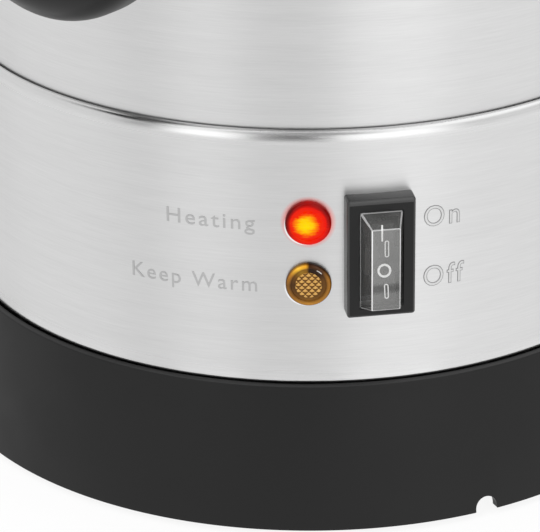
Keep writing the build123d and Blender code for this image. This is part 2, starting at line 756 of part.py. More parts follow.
def make_switch_rocker():
    """Rocker with two trunnions, its top end pressed in."""
    half = ROCKER_LENGTH / 2
    face = ROCKER_FACE - ROCKER_PIVOT
    side_view = polygon([
        (-half, face + ROCKER_DISH),
        (0, face),
        (half, face + ROCKER_DISH),
        (half, face + ROCKER_DISH - ROCKER_END),
        (CHEEK_HALF, -ROCKER_HUB),
        (-CHEEK_HALF, -ROCKER_HUB),
        (-half, face + ROCKER_DISH - ROCKER_END),
    ])
    rocker = extrude(Plane.YZ * side_view, ROCKER_WIDTH / 2, both=True)
    reach = ROCKER_WIDTH / 2 + HOLE_CLEARANCE + CHEEK_THICKNESS
    rocker += Rot(0, 90, 0) * rod(TRUNNION_RADIUS, -reach, reach)
    return switch_place() * Pos(0, 0, ROCKER_PIVOT) * Rot(-ROCKER_TILT, 0, 0) * rocker


def flange_form(inset, front):
    """Domed tap flange outline about local z, shrunk by a wall."""
    radius = FLANGE_RADIUS - inset
    back = -FLANGE_RADIUS / 3
    face = polygon([(0, back), (radius, back), (radius, front), (0, front)])
    round_limit = min(FLANGE_ROUND - inset, radius - BARREL_RADIUS)
    return turned(rounded(face, (radius, front), round_limit))


def make_tap_escutcheon():
    """Hollow black dome over the tap's fixing, fitted to the round wall."""
    dome = flange_form(0.0, FLANGE_DEPTH) - flange_form(FLANGE_WALL, FLANGE_DEPTH - FLANGE_WALL)
    dome -= rod(BARREL_RADIUS + PANEL_FIT, 0, FLANGE_DEPTH + OVERCUT)
    return tap_place() * dome - drum(jacket_radius + SADDLE_GAP)


def make_tap_body():
    """Tap casting: shank, barrel and valve chamber in one."""
    shank_end = -(tank_wall_depth + GASKET_THICKNESS + LOCK_NUT_HEIGHT + SHANK_SPARE)
    body = rod(SHANK_RADIUS, shank_end, SPOUT_REACH)
    body += rod(COLLAR_RADIUS, GASKET_THICKNESS, GASKET_THICKNESS + COLLAR_THICKNESS)
    body += rod(BARREL_RADIUS, GASKET_THICKNESS, SPOUT_REACH)
    body = tap_place() * body
    body += Pos(0, tap_y, 0) * rod(CHAMBER_RADIUS, chamber_under, chamber_top)
    hollow = rod(CHAMBER_RADIUS - CHAMBER_WALL, seat_height, chamber_top + OVERCUT)
    hollow += rod(SPIGOT_RADIUS + THREAD_FIT, chamber_under - OVERCUT, seat_height + OVERCUT)
    body -= Pos(0, tap_y, 0) * hollow
    return body - tap_place() * rod(TAP_BORE, shank_end - OVERCUT, SPOUT_REACH)


def make_tap_spout():
    """Tapered spout; its spigot goes up into the chamber and is the valve's seat."""
    tip = chamber_under - SPOUT_LENGTH
    outline = polygon([
        (SPOUT_BORE, tip),
        (SPOUT_TIP_RADIUS, tip),
        (SPOUT_TOP_RADIUS, chamber_under),
        (SPIGOT_RADIUS, chamber_under),
        (SPIGOT_RADIUS, seat_height),
        (SPOUT_BORE, seat_height),
    ])
    return Pos(0, tap_y, 0) * turned(outline)


def make_tap_outer_gasket():
    """Rubber washer between the tap's collar and the jacket."""
    washer = tube(GASKET_RADIUS, SHANK_RADIUS + HOLE_CLEARANCE, -GASKET_THICKNESS, GASKET_THICKNESS)
    return tap_place() * washer - drum(jacket_radius + SADDLE_GAP)


def make_tap_wall_spacer():
    """Sleeve that keeps jacket and tank apart at the tap."""
    sleeve = tube(GASKET_RADIUS, SHANK_RADIUS + HOLE_CLEARANCE, -tank_wall_depth, 0)
    sleeve = (tap_place() * sleeve) & drum(jacket_inner_radius - SADDLE_GAP)
    return sleeve - drum(tank_outer_radius + SADDLE_GAP)


def make_tap_inner_gasket():
    """Rubber washer between lock nut and tank."""
    nut_face = -(tank_wall_depth + GASKET_THICKNESS)
    washer = tube(GASKET_RADIUS, SHANK_RADIUS + HOLE_CLEARANCE, nut_face, 0)
    return (tap_place() * washer) & drum(tank_inner_radius - SADDLE_GAP)


def make_tap_lock_nut():
    """Nut on the tap's shank, inside the tank."""
    nut_face = -(tank_wall_depth + GASKET_THICKNESS)
    nut = hexagon(LOCK_NUT_FLATS, nut_face - LOCK_NUT_HEIGHT, nut_face)
    nut -= rod(SHANK_RADIUS + THREAD_FIT, nut_face - LOCK_NUT_HEIGHT - OVERCUT, nut_face + OVERCUT)
    return tap_place() * nut


def make_tap_bonnet():
    """Screwed cap of the valve chamber, which guides the stem."""
    face = polygon([
        (0, chamber_top), (BONNET_RADIUS, chamber_top), (BONNET_RADIUS, bonnet_top), (0, bonnet_top)
    ])
    cap = turned(rounded(face, (BONNET_RADIUS, bonnet_top), BONNET_ROUND))
    cap += rod(CHAMBER_RADIUS - CHAMBER_WALL - THREAD_FIT, bonnet_under, chamber_top)
    cap -= rod(STEM_RADIUS + RUNNING_FIT, bonnet_under - OVERCUT, bonnet_top + OVERCUT)
    return Pos(0, tap_y, 0) * cap


def make_tap_stem():
    """Round stem from the seat cup up to the lever's pin."""
    stem = rod(STEM_RADIUS, cup_top - CUP_GRIP, pin_height + STEM_TOP)
    hole = Rot(0, 90, 0) * rod(PIN_RADIUS + THREAD_FIT, -2 * STEM_RADIUS, 2 * STEM_RADIUS)
    return Pos(0, tap_y, 0) * (stem - Pos(0, 0, pin_height) * hole)


def make_tap_seat_cup():
    """Silicone cup that closes the seat."""
    cup = rod(CUP_RADIUS, seat_height, cup_top)
    cup -= rod(STEM_RADIUS + THREAD_FIT, cup_top - CUP_GRIP, cup_top + OVERCUT)
    return Pos(0, tap_y, 0) * cup


def make_tap_spring():
    """Closing spring round the stem, drawn as its sleeve."""
    start = cup_top + SPRING_SEAT_GAP
    end = bonnet_under - SPRING_SEAT_GAP
    return Pos(0, tap_y, 0) * tube(SPRING_RADIUS, SPRING_RADIUS - SPRING_WIRE, start, end)


def make_tap_lever_pin():
    """Cross pin through the stem's head."""
    half = lever_outer + PIN_SPARE
    return Pos(0, tap_y, pin_height) * Rot(0, 90, 0) * rod(PIN_RADIUS, -half, half)


def cam_point(turn):
    """Point of the lever's cam that bears on the bonnet after a turn, as (forward, up)."""
    reach = PIN_RISE - CAM_GAP + cam_rate * turn
    forward = reach * math.sin(turn) + cam_rate * math.cos(turn)
    up = -reach * math.cos(turn) + cam_rate * math.sin(turn)
    return (forward, up)


def make_tap_lever():
    """Forked lever with a lifting cam, standing upright when the tap is shut."""
    full_turn = math.radians(LEVER_ANGLE)
    heel = (-LEVER_HEEL, cam_point(0.0)[1])
    nose = cam_point(full_turn)
    shoulder = (LEVER_HEEL, LEVER_NECK + LEVER_HEEL)
    outline = Line(heel, cam_point(0.0))
    outline += ThreePointArc(cam_point(0.0), cam_point(full_turn / 2), nose)
    outline += Polyline(nose, shoulder, (-LEVER_HEEL, shoulder[1]), heel)
    side_view = make_face(outline)
    side_plane = Plane(origin=(0, tap_y, pin_height), x_dir=(0, -1, 0), z_dir=(-1, 0, 0))
    lever = extrude(side_plane * side_view, lever_outer, both=True)
    slot_top = pin_height + LEVER_BRIDGE
    slot_under = pin_height + heel[1] - OVERCUT
    slot = block(2 * lever_inner, 4 * BONNET_RADIUS, slot_under, slot_top)
    lever -= Pos(0, tap_y, 0) * slot
    neck = RectangleRounded(2 * lever_outer, LEVER_NECK_DEPTH, LEVER_CORNER)
    tip = RectangleRounded(LEVER_TIP_WIDTH, LEVER_TIP_DEPTH, LEVER_CORNER)
    neck_height = pin_height + LEVER_NECK
    paddle = loft([Pos(0, 0, neck_height) * neck, Pos(0, 0, pin_height + LEVER_LENGTH) * tip])
    paddle = fillet(paddle.edges().group_by(Axis.Z)[-1], LEVER_TIP_DEPTH / 4)
    lever += Pos(0, tap_y, 0) * paddle
    bore = Rot(0, 90, 0) * rod(PIN_RADIUS + RUNNING_FIT, -2 * lever_outer, 2 * lever_outer)
    return lever - Pos(0, tap_y, pin_height) * bore


def make_handle(azimuth):
    """Bow handle: a bent bar between two pads fitted to the wall."""
    low, high = azimuth - HANDLE_HALF_ANGLE, azimuth + HANDLE_HALF_ANGLE
    pads = [wall_plane(angle, jacket_radius, handle_height) for angle in (low, high)]
    outer = [wall_plane(angle, jacket_radius + HANDLE_STAND, handle_height) for angle in (low, high)]
    points = [pads[0].origin, outer[0].origin, outer[1].origin, pads[1].origin]
    path = FilletPolyline(*points, radius=HANDLE_BEND)
    handle = sweep(Plane(origin=path @ 0, z_dir=path % 0) * Circle(HANDLE_BAR), path=path)
    for pad in pads:
        handle += pad * rod(PAD_RADIUS, -PAD_RADIUS / 2, PAD_THICKNESS)
    handle -= drum(jacket_radius + SADDLE_GAP)
    for pad in pads:
        handle -= pad * rod(HANDLE_SCREW_RADIUS + THREAD_FIT, -PAD_RADIUS, HANDLE_SCREW_GRIP + THREAD_FIT)
    return handle


def make_handle_screws():
    """Four screws from inside the jacket into the handles."""
    head_under = -JACKET_SHEET - HANDLE_SCREW_HEAD
    head = rod(HANDLE_SCREW_HEAD_RADIUS, head_under, 0)
    shank = rod(HANDLE_SCREW_RADIUS, head_under, HANDLE_SCREW_GRIP)
    screws = []
    for place in handle_screw_places():
        seated_head = (place * head) & drum(jacket_inner_radius - SADDLE_GAP)
        screws.append(seated_head + place * shank)
    return Compound(screws)


def make_power_inlet():
    """Three pin power inlet, its flange fitted to the band."""
    flange = block(INLET_WIDTH, INLET_HEIGHT, -OVERCUT, INLET_PROUD, INLET_CORNER)
    flange = inlet_place() * flange - drum(BAND_RADIUS + SADDLE_GAP)
    body = block(INLET_BODY_WIDTH, INLET_BODY_HEIGHT, -INLET_BODY_DEPTH, INLET_PROUD / 2)
    inlet = flange + inlet_place() * body
    mouth_floor = INLET_PROUD - INLET_MOUTH_DEPTH
    mouth_face = INLET_PROUD + OVERCUT
    mouth = block(INLET_MOUTH_WIDTH, INLET_MOUTH_HEIGHT, mouth_floor, mouth_face, INLET_MOUTH_CORNER)
    inlet -= inlet_place() * mouth
    slot_width = INLET_PIN_WIDTH + 2 * THREAD_FIT
    slot_height = INLET_PIN_HEIGHT + 2 * THREAD_FIT
    for place in inlet_pin_places():
        inlet -= place * block(slot_width, slot_height, -2 * INLET_BODY_DEPTH, 0)
    for place in inlet_screw_places():
        inlet -= place * rod(INLET_SCREW_RADIUS + HOLE_CLEARANCE, -INLET_SCREW_LENGTH, INLET_PROUD + OVERCUT)
    return inlet


def inlet_pin_places():
    """Live, neutral and earth pins."""
    offsets = [(0, INLET_PIN_SPACING), (0, -INLET_PIN_SPACING), (INLET_EARTH_OFFSET, 0)]
    return [inlet_place() * Pos(x, y, 0) for x, y in offsets]


def make_inlet_pins():
    """Three blades with tails for the leads."""
    mouth_floor = INLET_PROUD - INLET_MOUTH_DEPTH
    blade = block(
        INLET_PIN_WIDTH, INLET_PIN_HEIGHT, -INLET_BODY_DEPTH - INLET_PIN_TAIL, mouth_floor + INLET_PIN_LENGTH
    )
    return Compound([place * blade for place in inlet_pin_places()])


def make_inlet_screws():
    """Two screws through the inlet's flange and the band."""
    screw = rod(INLET_SCREW_HEAD_RADIUS, INLET_PROUD, INLET_PROUD + INLET_SCREW_HEAD)
    screw += rod(INLET_SCREW_RADIUS, INLET_PROUD - INLET_SCREW_LENGTH, INLET_PROUD)
    return Compound([place * screw for place in inlet_screw_places()])


def dome_height(radius, crown):
    """Height of the lid's dome at a radius, for a crown height."""
    return crown - dome_sphere + math.sqrt(dome_sphere**2 - radius**2)


def make_lid_shell():
    """Domed steel lid with a flat brim and three steam holes."""
    brim_top = rim_top + LID_SHEET
    inner_crown = dome_top - LID_SHEET
    middle = dome_radius / 2
    outer_start = (dome_radius, brim_top)
    inner_start = (dome_radius, rim_top)
    outline = Polyline(inner_start, (lid_radius, rim_top), (lid_radius, brim_top), outer_start)
    outline += ThreePointArc(outer_start, (middle, dome_height(middle, dome_top)), (0, dome_top))
    outline += Line((0, dome_top), (0, inner_crown))
    outline += ThreePointArc((0, inner_crown), (middle, dome_height(middle, inner_crown)), inner_start)
    lid = turned(make_face(outline))
    lid -= rod(KNOB_SCREW_RADIUS + HOLE_CLEARANCE, rim_top, dome_top + OVERCUT)
    for i in range(STEAM_HOLE_COUNT):
        x = (i - (STEAM_HOLE_COUNT - 1) / 2) * STEAM_HOLE_STEP
        lid -= Pos(x, STEAM_HOLE_RING, 0) * rod(STEAM_HOLE_RADIUS, rim_top, dome_top + OVERCUT)
    return lid


def make_lid_locating_ring():
    """Ring under the lid that keeps it centred in the tank."""
    outer = tank_inner_radius - LID_FIT
    return tube(outer, outer - LID_RING_SHEET, rim_top - LID_RING_DEPTH, rim_top)


def make_lid_knob_collar():
    """Heat guard between lid and knob."""
    collar = rod(KNOB_COLLAR_RADIUS, dome_height(KNOB_COLLAR_RADIUS, dome_top) - OVERCUT, collar_top)
    collar -= Pos(0, 0, dome_top - dome_sphere) * Sphere(dome_sphere)
    return collar - rod(KNOB_SCREW_RADIUS + HOLE_CLEARANCE, rim_top, collar_top + OVERCUT)


def make_lid_knob():
    """Round black knob."""
    knob_top = collar_top + KNOB_HEIGHT
    head_under = knob_top - KNOB_HEAD_HEIGHT
    face = polygon([
        (0, collar_top),
        (KNOB_NECK_RADIUS, collar_top),
        (KNOB_NECK_RADIUS, head_under),
        (KNOB_HEAD_RADIUS, head_under),
        (KNOB_HEAD_RADIUS, knob_top),
        (0, knob_top),
    ])
    face = rounded(face, (KNOB_HEAD_RADIUS, knob_top), KNOB_ROUND)
    face = rounded(face, (KNOB_HEAD_RADIUS, head_under), KNOB_ROUND)
    knob = turned(face)
    return knob - rod(KNOB_SCREW_RADIUS + THREAD_FIT, rim_top, dome_top + KNOB_SCREW_GRIP + THREAD_FIT)


def make_lid_knob_screw():
    """Screw from under the lid into the knob."""
    head_top = dome_height(KNOB_SCREW_HEAD_RADIUS, dome_top - LID_SHEET) - SADDLE_GAP
    screw = rod(KNOB_SCREW_HEAD_RADIUS, head_top - KNOB_SCREW_HEAD, head_top)
    return screw + rod(KNOB_SCREW_RADIUS, head_top, dome_top + KNOB_SCREW_GRIP)


pieces = {
    "base_ring": make_base_ring(),
    "base_plate": make_base_plate(),
    "rubber_feet": make_rubber_feet(),
    "foot_screws": make_foot_screws(),
    "tie_rod": make_tie_rod(),
    "tie_nut": make_tie_nut(),
    "control_band": make_control_band(),
    "outer_jacket": make_outer_jacket(),
    "tank_wall": make_tank_wall(),
    "tank_floor": make_tank_floor(),
    "heat_shield": make_heat_shield(),
    "heat_spreader": make_heat_spreader(),
    "heating_element": make_ring_element(element_ring, ELEMENT_TUBE, 0.0),
    "keep_warm_element": make_ring_element(warm_ring, WARM_TUBE, 180.0),
    "control_thermostat": make_sensor(0.0),
    "dry_boil_cutout": make_sensor(180.0),
    "thermal_fuse": make_thermal_fuse(),
    "terminal_block": make_terminal_block(),
    "switch_frame": make_switch_frame(),
    "switch_boot": make_switch_boot(),
    "switch_body": make_switch_body(),
    "switch_rocker": make_switch_rocker(),
    "tap_escutcheon": make_tap_escutcheon(),
    "tap_body": make_tap_body(),
    "tap_spout": make_tap_spout(),
    "tap_outer_gasket": make_tap_outer_gasket(),
    "tap_wall_spacer": make_tap_wall_spacer(),
    "tap_inner_gasket": make_tap_inner_gasket(),
    "tap_lock_nut": make_tap_lock_nut(),
    "tap_bonnet": make_tap_bonnet(),
    "tap_stem": make_tap_stem(),
    "tap_seat_cup": make_tap_seat_cup(),
    "tap_spring": make_tap_spring(),
    "tap_lever_pin": make_tap_lever_pin(),
    "tap_lever": make_tap_lever(),
    "handle_screws": make_handle_screws(),
    "power_inlet": make_power_inlet(),
    "inlet_pins": make_inlet_pins(),
    "inlet_screws": make_inlet_screws(),
    "lid_shell": make_lid_shell(),
    "lid_locating_ring": make_lid_locating_ring(),
    "lid_knob_collar": make_lid_knob_collar(),
    "lid_knob": make_lid_knob(),
    "lid_knob_screw": make_lid_knob_screw(),
}
for lamp in lamp_heights:
    pieces[lamp + "_lamp_lens"] = make_lamp_lens(lamp)
    pieces[lamp + "_lamp_body"] = make_lamp_body(lamp)
    pieces[lamp + "_lamp_nut"] = make_lamp_nut(lamp)
for side, azimuth in handle_azimuths.items():
    pieces["handle_" + side] = make_handle(azimuth)

os.makedirs("parts", exist_ok=True)
for name, solid in pieces.items():
    export_step(solid, "parts/" + name + ".step")
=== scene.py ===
"""Looks of the hot drink warmer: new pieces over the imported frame, finishes and a studio. Metres."""

import json
import math

import bmesh
import bpy
from mathutils import Matrix, Vector


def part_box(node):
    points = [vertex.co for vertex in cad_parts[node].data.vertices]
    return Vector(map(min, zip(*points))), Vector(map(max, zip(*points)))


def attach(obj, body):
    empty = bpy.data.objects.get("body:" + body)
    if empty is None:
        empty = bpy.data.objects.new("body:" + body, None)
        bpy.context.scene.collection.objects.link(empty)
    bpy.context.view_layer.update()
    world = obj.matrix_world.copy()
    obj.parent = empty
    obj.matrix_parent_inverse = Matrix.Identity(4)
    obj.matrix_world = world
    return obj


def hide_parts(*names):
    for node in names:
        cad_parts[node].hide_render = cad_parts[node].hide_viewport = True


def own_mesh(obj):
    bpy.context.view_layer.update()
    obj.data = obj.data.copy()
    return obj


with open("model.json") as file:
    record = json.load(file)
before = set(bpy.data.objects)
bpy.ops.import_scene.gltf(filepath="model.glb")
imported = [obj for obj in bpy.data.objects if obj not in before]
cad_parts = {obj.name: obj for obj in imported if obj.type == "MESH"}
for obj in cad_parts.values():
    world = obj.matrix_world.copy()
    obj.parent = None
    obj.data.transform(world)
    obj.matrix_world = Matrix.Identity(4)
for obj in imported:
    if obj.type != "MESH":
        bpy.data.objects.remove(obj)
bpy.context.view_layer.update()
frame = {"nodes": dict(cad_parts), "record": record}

bl_info = {
    "name": "Hot drink warmer",
    "version": (1, 0, 0),
    "blender": (4, 5, 0),
    "location": "View3D > Sidebar > Warmer",
    "description": "Models and finishes a hot drink warmer with a tap",
    "category": "Object",
}

AXIS = Vector((0.0, 0.0, 1.0))
ORIGIN = Vector((0.0, 0.0, 0.0))
FULL_TURN = 2 * math.pi
ROUND_STEPS = 360
SMALL_STEPS = 96
CORNER_STEPS = 6

# Gap between a fitting and what it sits on, and the thickness of the rocker's marks
FIT = 0.00005
INK = 0.00006

# Usual roundings of edges
FINE_ROUND = 0.0004
EDGE_ROUND = 0.0006

# Scale of brushing that runs round the object, and how far the grain swings the roughness
AROUND = (90.0, 90.0, 2600.0)
ROUGH_SWING = 0.05
WHITE = (0.98, 0.98, 0.98)

# Studio panels in reflections: degrees from the camera, half width, soft edge and gain
LOW_PANELS = [
    (-87.0, 23.0, 5.0, 0.1),
    (-33.5, 10.5, 4.0, 0.12),
    (-5.0, 8.0, 6.0, 0.04),
    (24.5, 12.0, 8.0, 0.255),
    (62.0, 26.0, 6.0, 0.17),
    (146.0, 11.0, 5.0, 0.14),
    (175.0, 11.0, 8.0, -0.12),
    (-154.0, 13.0, 8.0, 0.24),
]
FRONT_PANELS = [
    (-53.0, 6.0, 4.0, -0.5),
    (-32.0, 13.0, 4.0, 0.8),
    (-7.0, 13.0, 4.0, -0.8),
    (24.0, 17.0, 5.0, 0.75),
    (52.0, 6.0, 4.0, -0.12),
]
TOP_PANELS = [
    (-50.0, 15.0, 9.0, 0.5),
    (-82.0, 8.0, 6.0, -1.2),
    (-2.0, 22.0, 10.0, -0.55),
    (75.0, 52.0, 10.0, 0.5),
]


# Properties


def length(name, description, default):
    """A size in metres."""
    return bpy.props.FloatProperty(
        name=name, description=description, default=default, precision=5, unit="LENGTH"
    )


def angle(name, description, degrees):
    """An angle, given in degrees."""
    return bpy.props.FloatProperty(
        name=name,
        description=description,
        default=math.radians(degrees),
        subtype="ANGLE",
        unit="ROTATION",
    )


def share(name, description, default):
    """A value from 0 to 1."""
    return bpy.props.FloatProperty(
        name=name, description=description, default=default, min=0.0, max=1.0, subtype="FACTOR"
    )


def colour(name, description, default):
    """A linear colour."""
    return bpy.props.FloatVectorProperty(
        name=name, description=description, default=default, size=3, min=0.0, max=1.0, subtype="COLOR"
    )


class WallSizes(bpy.types.PropertyGroup):
    """Base, band, jacket and tank."""

    foot_radius: length("Foot radius", "Base at the worktop", 0.1134)
    foot_lift: length("Foot lift", "Base above the worktop", 0.002)
    base_top: length("Base top", "Height of the base's lip", 0.0441)
    base_wall: length("Base wall", "Thickness of the base's skirt", 0.0026)
    lip_radius: length("Lip radius", "Outside of the base's lip", 0.1069)
    lip_wall: length("Lip wall", "Thickness of the lip", 0.0013)
    ledge_radius: length("Ledge radius", "Inside of the ledge under the band", 0.0876)
    band_radius: length("Band radius", "Outside of the control band", 0.105)
    band_bottom: length("Band bottom", "Height where the band starts", 0.0368)
    band_top: length("Band top", "Height of the band's shoulder", 0.1185)
    sheet: length("Sheet", "Thickness of the steel sheets", 0.0008)
    shoulder: length("Shoulder", "Height of the band's rounded shoulder", 0.0036)
    seam: length("Seam", "Gap between band and jacket", 0.0006)
    jacket_radius: length("Jacket radius", "Outside of the jacket", 0.1023)
    jacket_bottom: length("Jacket bottom", "Height where the jacket starts", 0.1105)
    jacket_top: length("Jacket top", "Height where the jacket ends", 0.402)
    tank_radius: length("Tank radius", "Inside of the tank", 0.0972)
    tank_weld: length("Tank weld", "Height where the tank's wall starts", 0.1534)
    rim_depth: length("Rim depth", "Fold of the tank's rim over the jacket", 0.006)
    notch_width: length("Notch width", "Small arches in the base's foot", 0.0066)
    notch_height: length("Notch height", "Height of the arches", 0.0044)
    notch_azimuth: angle("Notch azimuth", "First arch, from the tap", 65.4)
    foot_circle: length("Foot circle", "Circle of the rubber feet", 0.0956)
    foot_height: length("Foot height", "Height of the rubber feet", 0.0084)
    rubber_radius: length("Rubber radius", "Radius of a rubber foot", 0.009)


class PanelSizes(bpy.types.PropertyGroup):
    """Lamps, switch and words on the band."""

    lamp_azimuth: angle("Lamp azimuth", "Both lamps, from the tap", 39.45)
    heating_height: length("Heating lamp", "Height of the upper lamp", 0.0925)
    warm_height: length("Keep warm lamp", "Height of the lower lamp", 0.0744)
    lens_radius: length("Lens radius", "Outside of a lens", 0.00625)
    lens_proud: length("Lens proud", "Lens in front of the band", 0.0016)
    core_radius: length("Core radius", "Faceted core of a lens", 0.0036)
    facet: length("Facet", "Side of a square facet", 0.0013)
    facet_gap: length("Facet gap", "Flat edge round a facet", 0.00013)
    switch_azimuth: angle("Switch azimuth", "Switch, from the tap", 49.8)
    switch_height: length("Switch height", "Height of the rocker's middle", 0.0826)
    frame_width: length("Frame width", "Width of the switch frame", 0.0187)
    frame_height: length("Frame height", "Height of the switch frame", 0.0346)
    frame_rise: length("Frame rise", "Frame's middle above the rocker's", 0.0005)
    frame_proud: length("Frame proud", "Frame in front of the band", 0.0045)
    frame_round: length("Frame round", "Rounding of the frame's front", 0.0006)
    frame_brow: length("Frame brow", "Deeper rounding at the frame's top", 0.0014)
    boot_width: length("Boot width", "Clear boot at the frame", 0.0117)
    boot_height: length("Boot height", "Clear boot at the frame", 0.0282)
    boot_face_width: length("Boot face width", "Clear boot at its face", 0.0079)
    boot_face_height: length("Boot face height", "Clear boot at its face", 0.0239)
    boot_proud: length("Boot proud", "Boot in front of the frame", 0.0066)
    boot_wall: length("Boot wall", "Thickness of the boot", 0.0007)
    rocker_tilt: angle("Rocker tilt", "Rocker with its top pressed", 8.0)
    rocker_pivot: length("Rocker pivot", "Pivot in front of the band", 0.003)
    rocker_face: length("Rocker face", "Rocker face above its pivot", 0.0044)
    letter_height: length("Letter height", "Capitals beside the lamps", 0.0043)
    large_letter: length("Large letter height", "Capitals beside the switch", 0.0060)
    letter_proud: length("Letter proud", "Letters in front of the band", 0.00012)


class TapSizes(bpy.types.PropertyGroup):
    """Tap and its flange."""

    axis_height: length("Axis height", "Height of the tap's barrel", 0.1798)
    flange_radius: length("Flange radius", "Domed flange at the jacket", 0.037)
    flange_depth: length("Flange depth", "Flange in front of the jacket", 0.0166)
    flange_round: length("Flange round", "Rounding of the dome", 0.0141)
    flange_wall: length("Flange wall", "Thickness of the dome", 0.0025)
    barrel_radius: length("Barrel radius", "Horizontal barrel", 0.012)
    reach: length("Reach", "Spout in front of the jacket", 0.050)
    chamber_radius: length("Chamber radius", "Upright valve chamber", 0.016)
    chamber_bottom: length("Chamber bottom", "Underside of the chamber", 0.1618)
    chamber_top: length("Chamber top", "Top of the chamber", 0.1958)
    bonnet_radius: length("Bonnet radius", "Screwed cap", 0.017)
    thread_radius: length("Thread radius", "Cap inside the chamber", 0.01245)
    bonnet_top: length("Bonnet top", "Top of the cap", 0.2058)
    spout_tip: length("Spout tip", "Height of the spout's mouth", 0.1278)
    spout_tip_radius: length("Spout tip radius", "Outside of the mouth", 0.0105)
    spout_top_radius: length("Spout top radius", "Outside under the chamber", 0.014)
    spout_bore: length("Spout bore", "Inside of the spout", 0.0075)
    spigot_radius: length("Spigot radius", "Spout inside the chamber", 0.0105)
    seat_height: length("Seat height", "Valve seat", 0.1668)
    spring_wire: length("Spring wire", "Thickness of the closing spring's wire", 0.0012)
    stem_lift: length("Stem lift", "How far the lever lifts the stem", 0.004)


class FittingSizes(bpy.types.PropertyGroup):
    """Handles, power inlet and lid."""

    handle_height: length("Handle height", "Height of both handles", 0.3128)
    handle_half: angle("Handle half angle", "From a handle's middle to a post", 22.0)
    handle_stand: length("Handle stand", "Bar in front of the jacket", 0.046)
    handle_bar: length("Handle bar", "Radius of the bar", 0.008)
    handle_bend: length("Handle bend", "Radius of the bends", 0.018)
    pad_radius: length("Pad radius", "Pads on the jacket", 0.013)
    pad_thickness: length("Pad thickness", "Pads in front of the jacket", 0.006)
    inlet_height: length("Inlet height", "Height of the power inlet", 0.0834)
    inlet_width: length("Inlet width", "Flange of the inlet", 0.0226)
    inlet_tall: length("Inlet flange height", "Flange of the inlet", 0.050)
    inlet_proud: length("Inlet proud", "Flange in front of the band", 0.0026)
    mouth_width: length("Mouth width", "Opening of the inlet", 0.0155)
    mouth_tall: length("Mouth height", "Opening of the inlet", 0.024)
    mouth_depth: length("Mouth depth", "Depth of the opening", 0.018)
    screw_spacing: length("Screw spacing", "Between the inlet's screws", 0.040)
    rim_top: length("Rim top", "Height of the tank's rim", 0.4028)
    lid_radius: length("Lid radius", "Outside of the lid", 0.1038)
    lid_brim: length("Lid brim", "Flat edge of the lid", 0.014)
    lid_rise: length("Lid rise", "Dome above the brim", 0.015)
    lid_sheet: length("Lid sheet", "Thickness of the lid", 0.001)
    knob_radius: length("Knob radius", "Head of the knob", 0.019)
    knob_neck: length("Knob neck", "Neck of the knob", 0.009)
    knob_height: length("Knob height", "Knob above its collar", 0.034)
    knob_head: length("Knob head", "Height of the knob's head", 0.016)
    collar_thickness: length("Collar thickness", "Heat guard under the knob", 0.003)


class FinishColours(bpy.types.PropertyGroup):
    """Colours of the finishes."""

    steel: colour("Steel", "Brushed stainless steel", (0.66, 0.66, 0.66))
    base_black: colour("Base black", "Moulded base", (0.005, 0.005, 0.005))
    # Lighter black painted on the lip's upward faces as a highlight
    lip_highlight_black: colour("Lip highlight black", "Painted highlight on the base's lip", (0.014, 0.014, 0.014))
    gloss_black: colour("Gloss black", "Tap and switch", (0.007, 0.007, 0.007))
    matt_black: colour("Matt black", "Handles, knob and inlet", (0.012, 0.012, 0.012))
    rubber_black: colour("Rubber black", "Feet and gaskets", (0.02, 0.02, 0.02))
    # Painted light on the amber facets: lit and shaded copies of one clear amber, and painted shade in
    # the gaps
    amber_light: colour("Amber light", "Lit facets of the keep warm lamp", (0.64, 0.36, 0.095))
    amber_shade: colour("Amber shade", "Shaded facets of the keep warm lamp", (0.21, 0.095, 0.02))
    amber_gap_shade: colour("Amber gap", "Gaps between the facets", (0.11, 0.048, 0.012))
    clear: colour("Clear", "Silicone boot", (0.52, 0.52, 0.51))
    mark: colour("Mark", "White marks on the rocker", (0.96, 0.96, 0.95))
    halo: colour("Halo", "Light of the heating lamp on the band", (0.92, 0.2, 0.17))
    word: colour("Word", "Words beside the lamps", (0.49, 0.49, 0.49))
    word_plain: colour("Plain word", "Faces of the words beside the switch", (0.62, 0.62, 0.62))
    # Darker steel on the edges of the raised words beside the switch: painted shade
    word_edge_shade: colour("Word edge shade", "Edges of the words beside the switch", (0.27, 0.27, 0.27))


class StageSettings(bpy.types.PropertyGroup):
    """Camera and studio."""

    azimuth: angle("Camera azimuth", "Camera, from the tap", 40.0)
    distance: length("Camera distance", "From the tank's axis", 0.8968)
    height: length("Camera height", "Above the worktop", 0.453)
    pitch: angle("Camera pitch", "Downwards", 25.2467)
    yaw: angle("Camera yaw", "To the left", 0.7464)
    roll: angle("Camera roll", "About the view", -0.3416)
    lens: bpy.props.FloatProperty(
        name="Lens", description="Focal length on a 36 mm sensor", default=216.16, unit="CAMERA"
    )
    world_light: share("World light", "Strength of the white surroundings", 0.62)
    floor_light: share("Floor light", "Light that the floor throws back", 0.5)
    floor_shadow: share("Floor shadow", "How much of the shadow the floor shows", 0.12)
    glow: share("Glow", "Brightness near the floor in reflections", 0.93)
    ceiling: share("Ceiling", "Brightness overhead in reflections", 0.95)


# Modelling helpers


def wall_place(azimuth, radius, height):
    """Place on a round wall: x to the right, y up, z outwards."""
    turn = Matrix.Rotation(azimuth, 4, "Z")
    shift = Matrix.Translation((0.0, -radius, height))
    return turn @ shift @ Matrix.Rotation(math.pi / 2, 4, "X")


def quarter_turns(steps):
    """Angles of a quarter turn in equal steps."""
    return [i / steps * math.pi / 2 for i in range(steps + 1)]


def only(geom, kind):
    """The items of one kind among the results of a bmesh operator."""
    return [item for item in geom if isinstance(item, kind)]


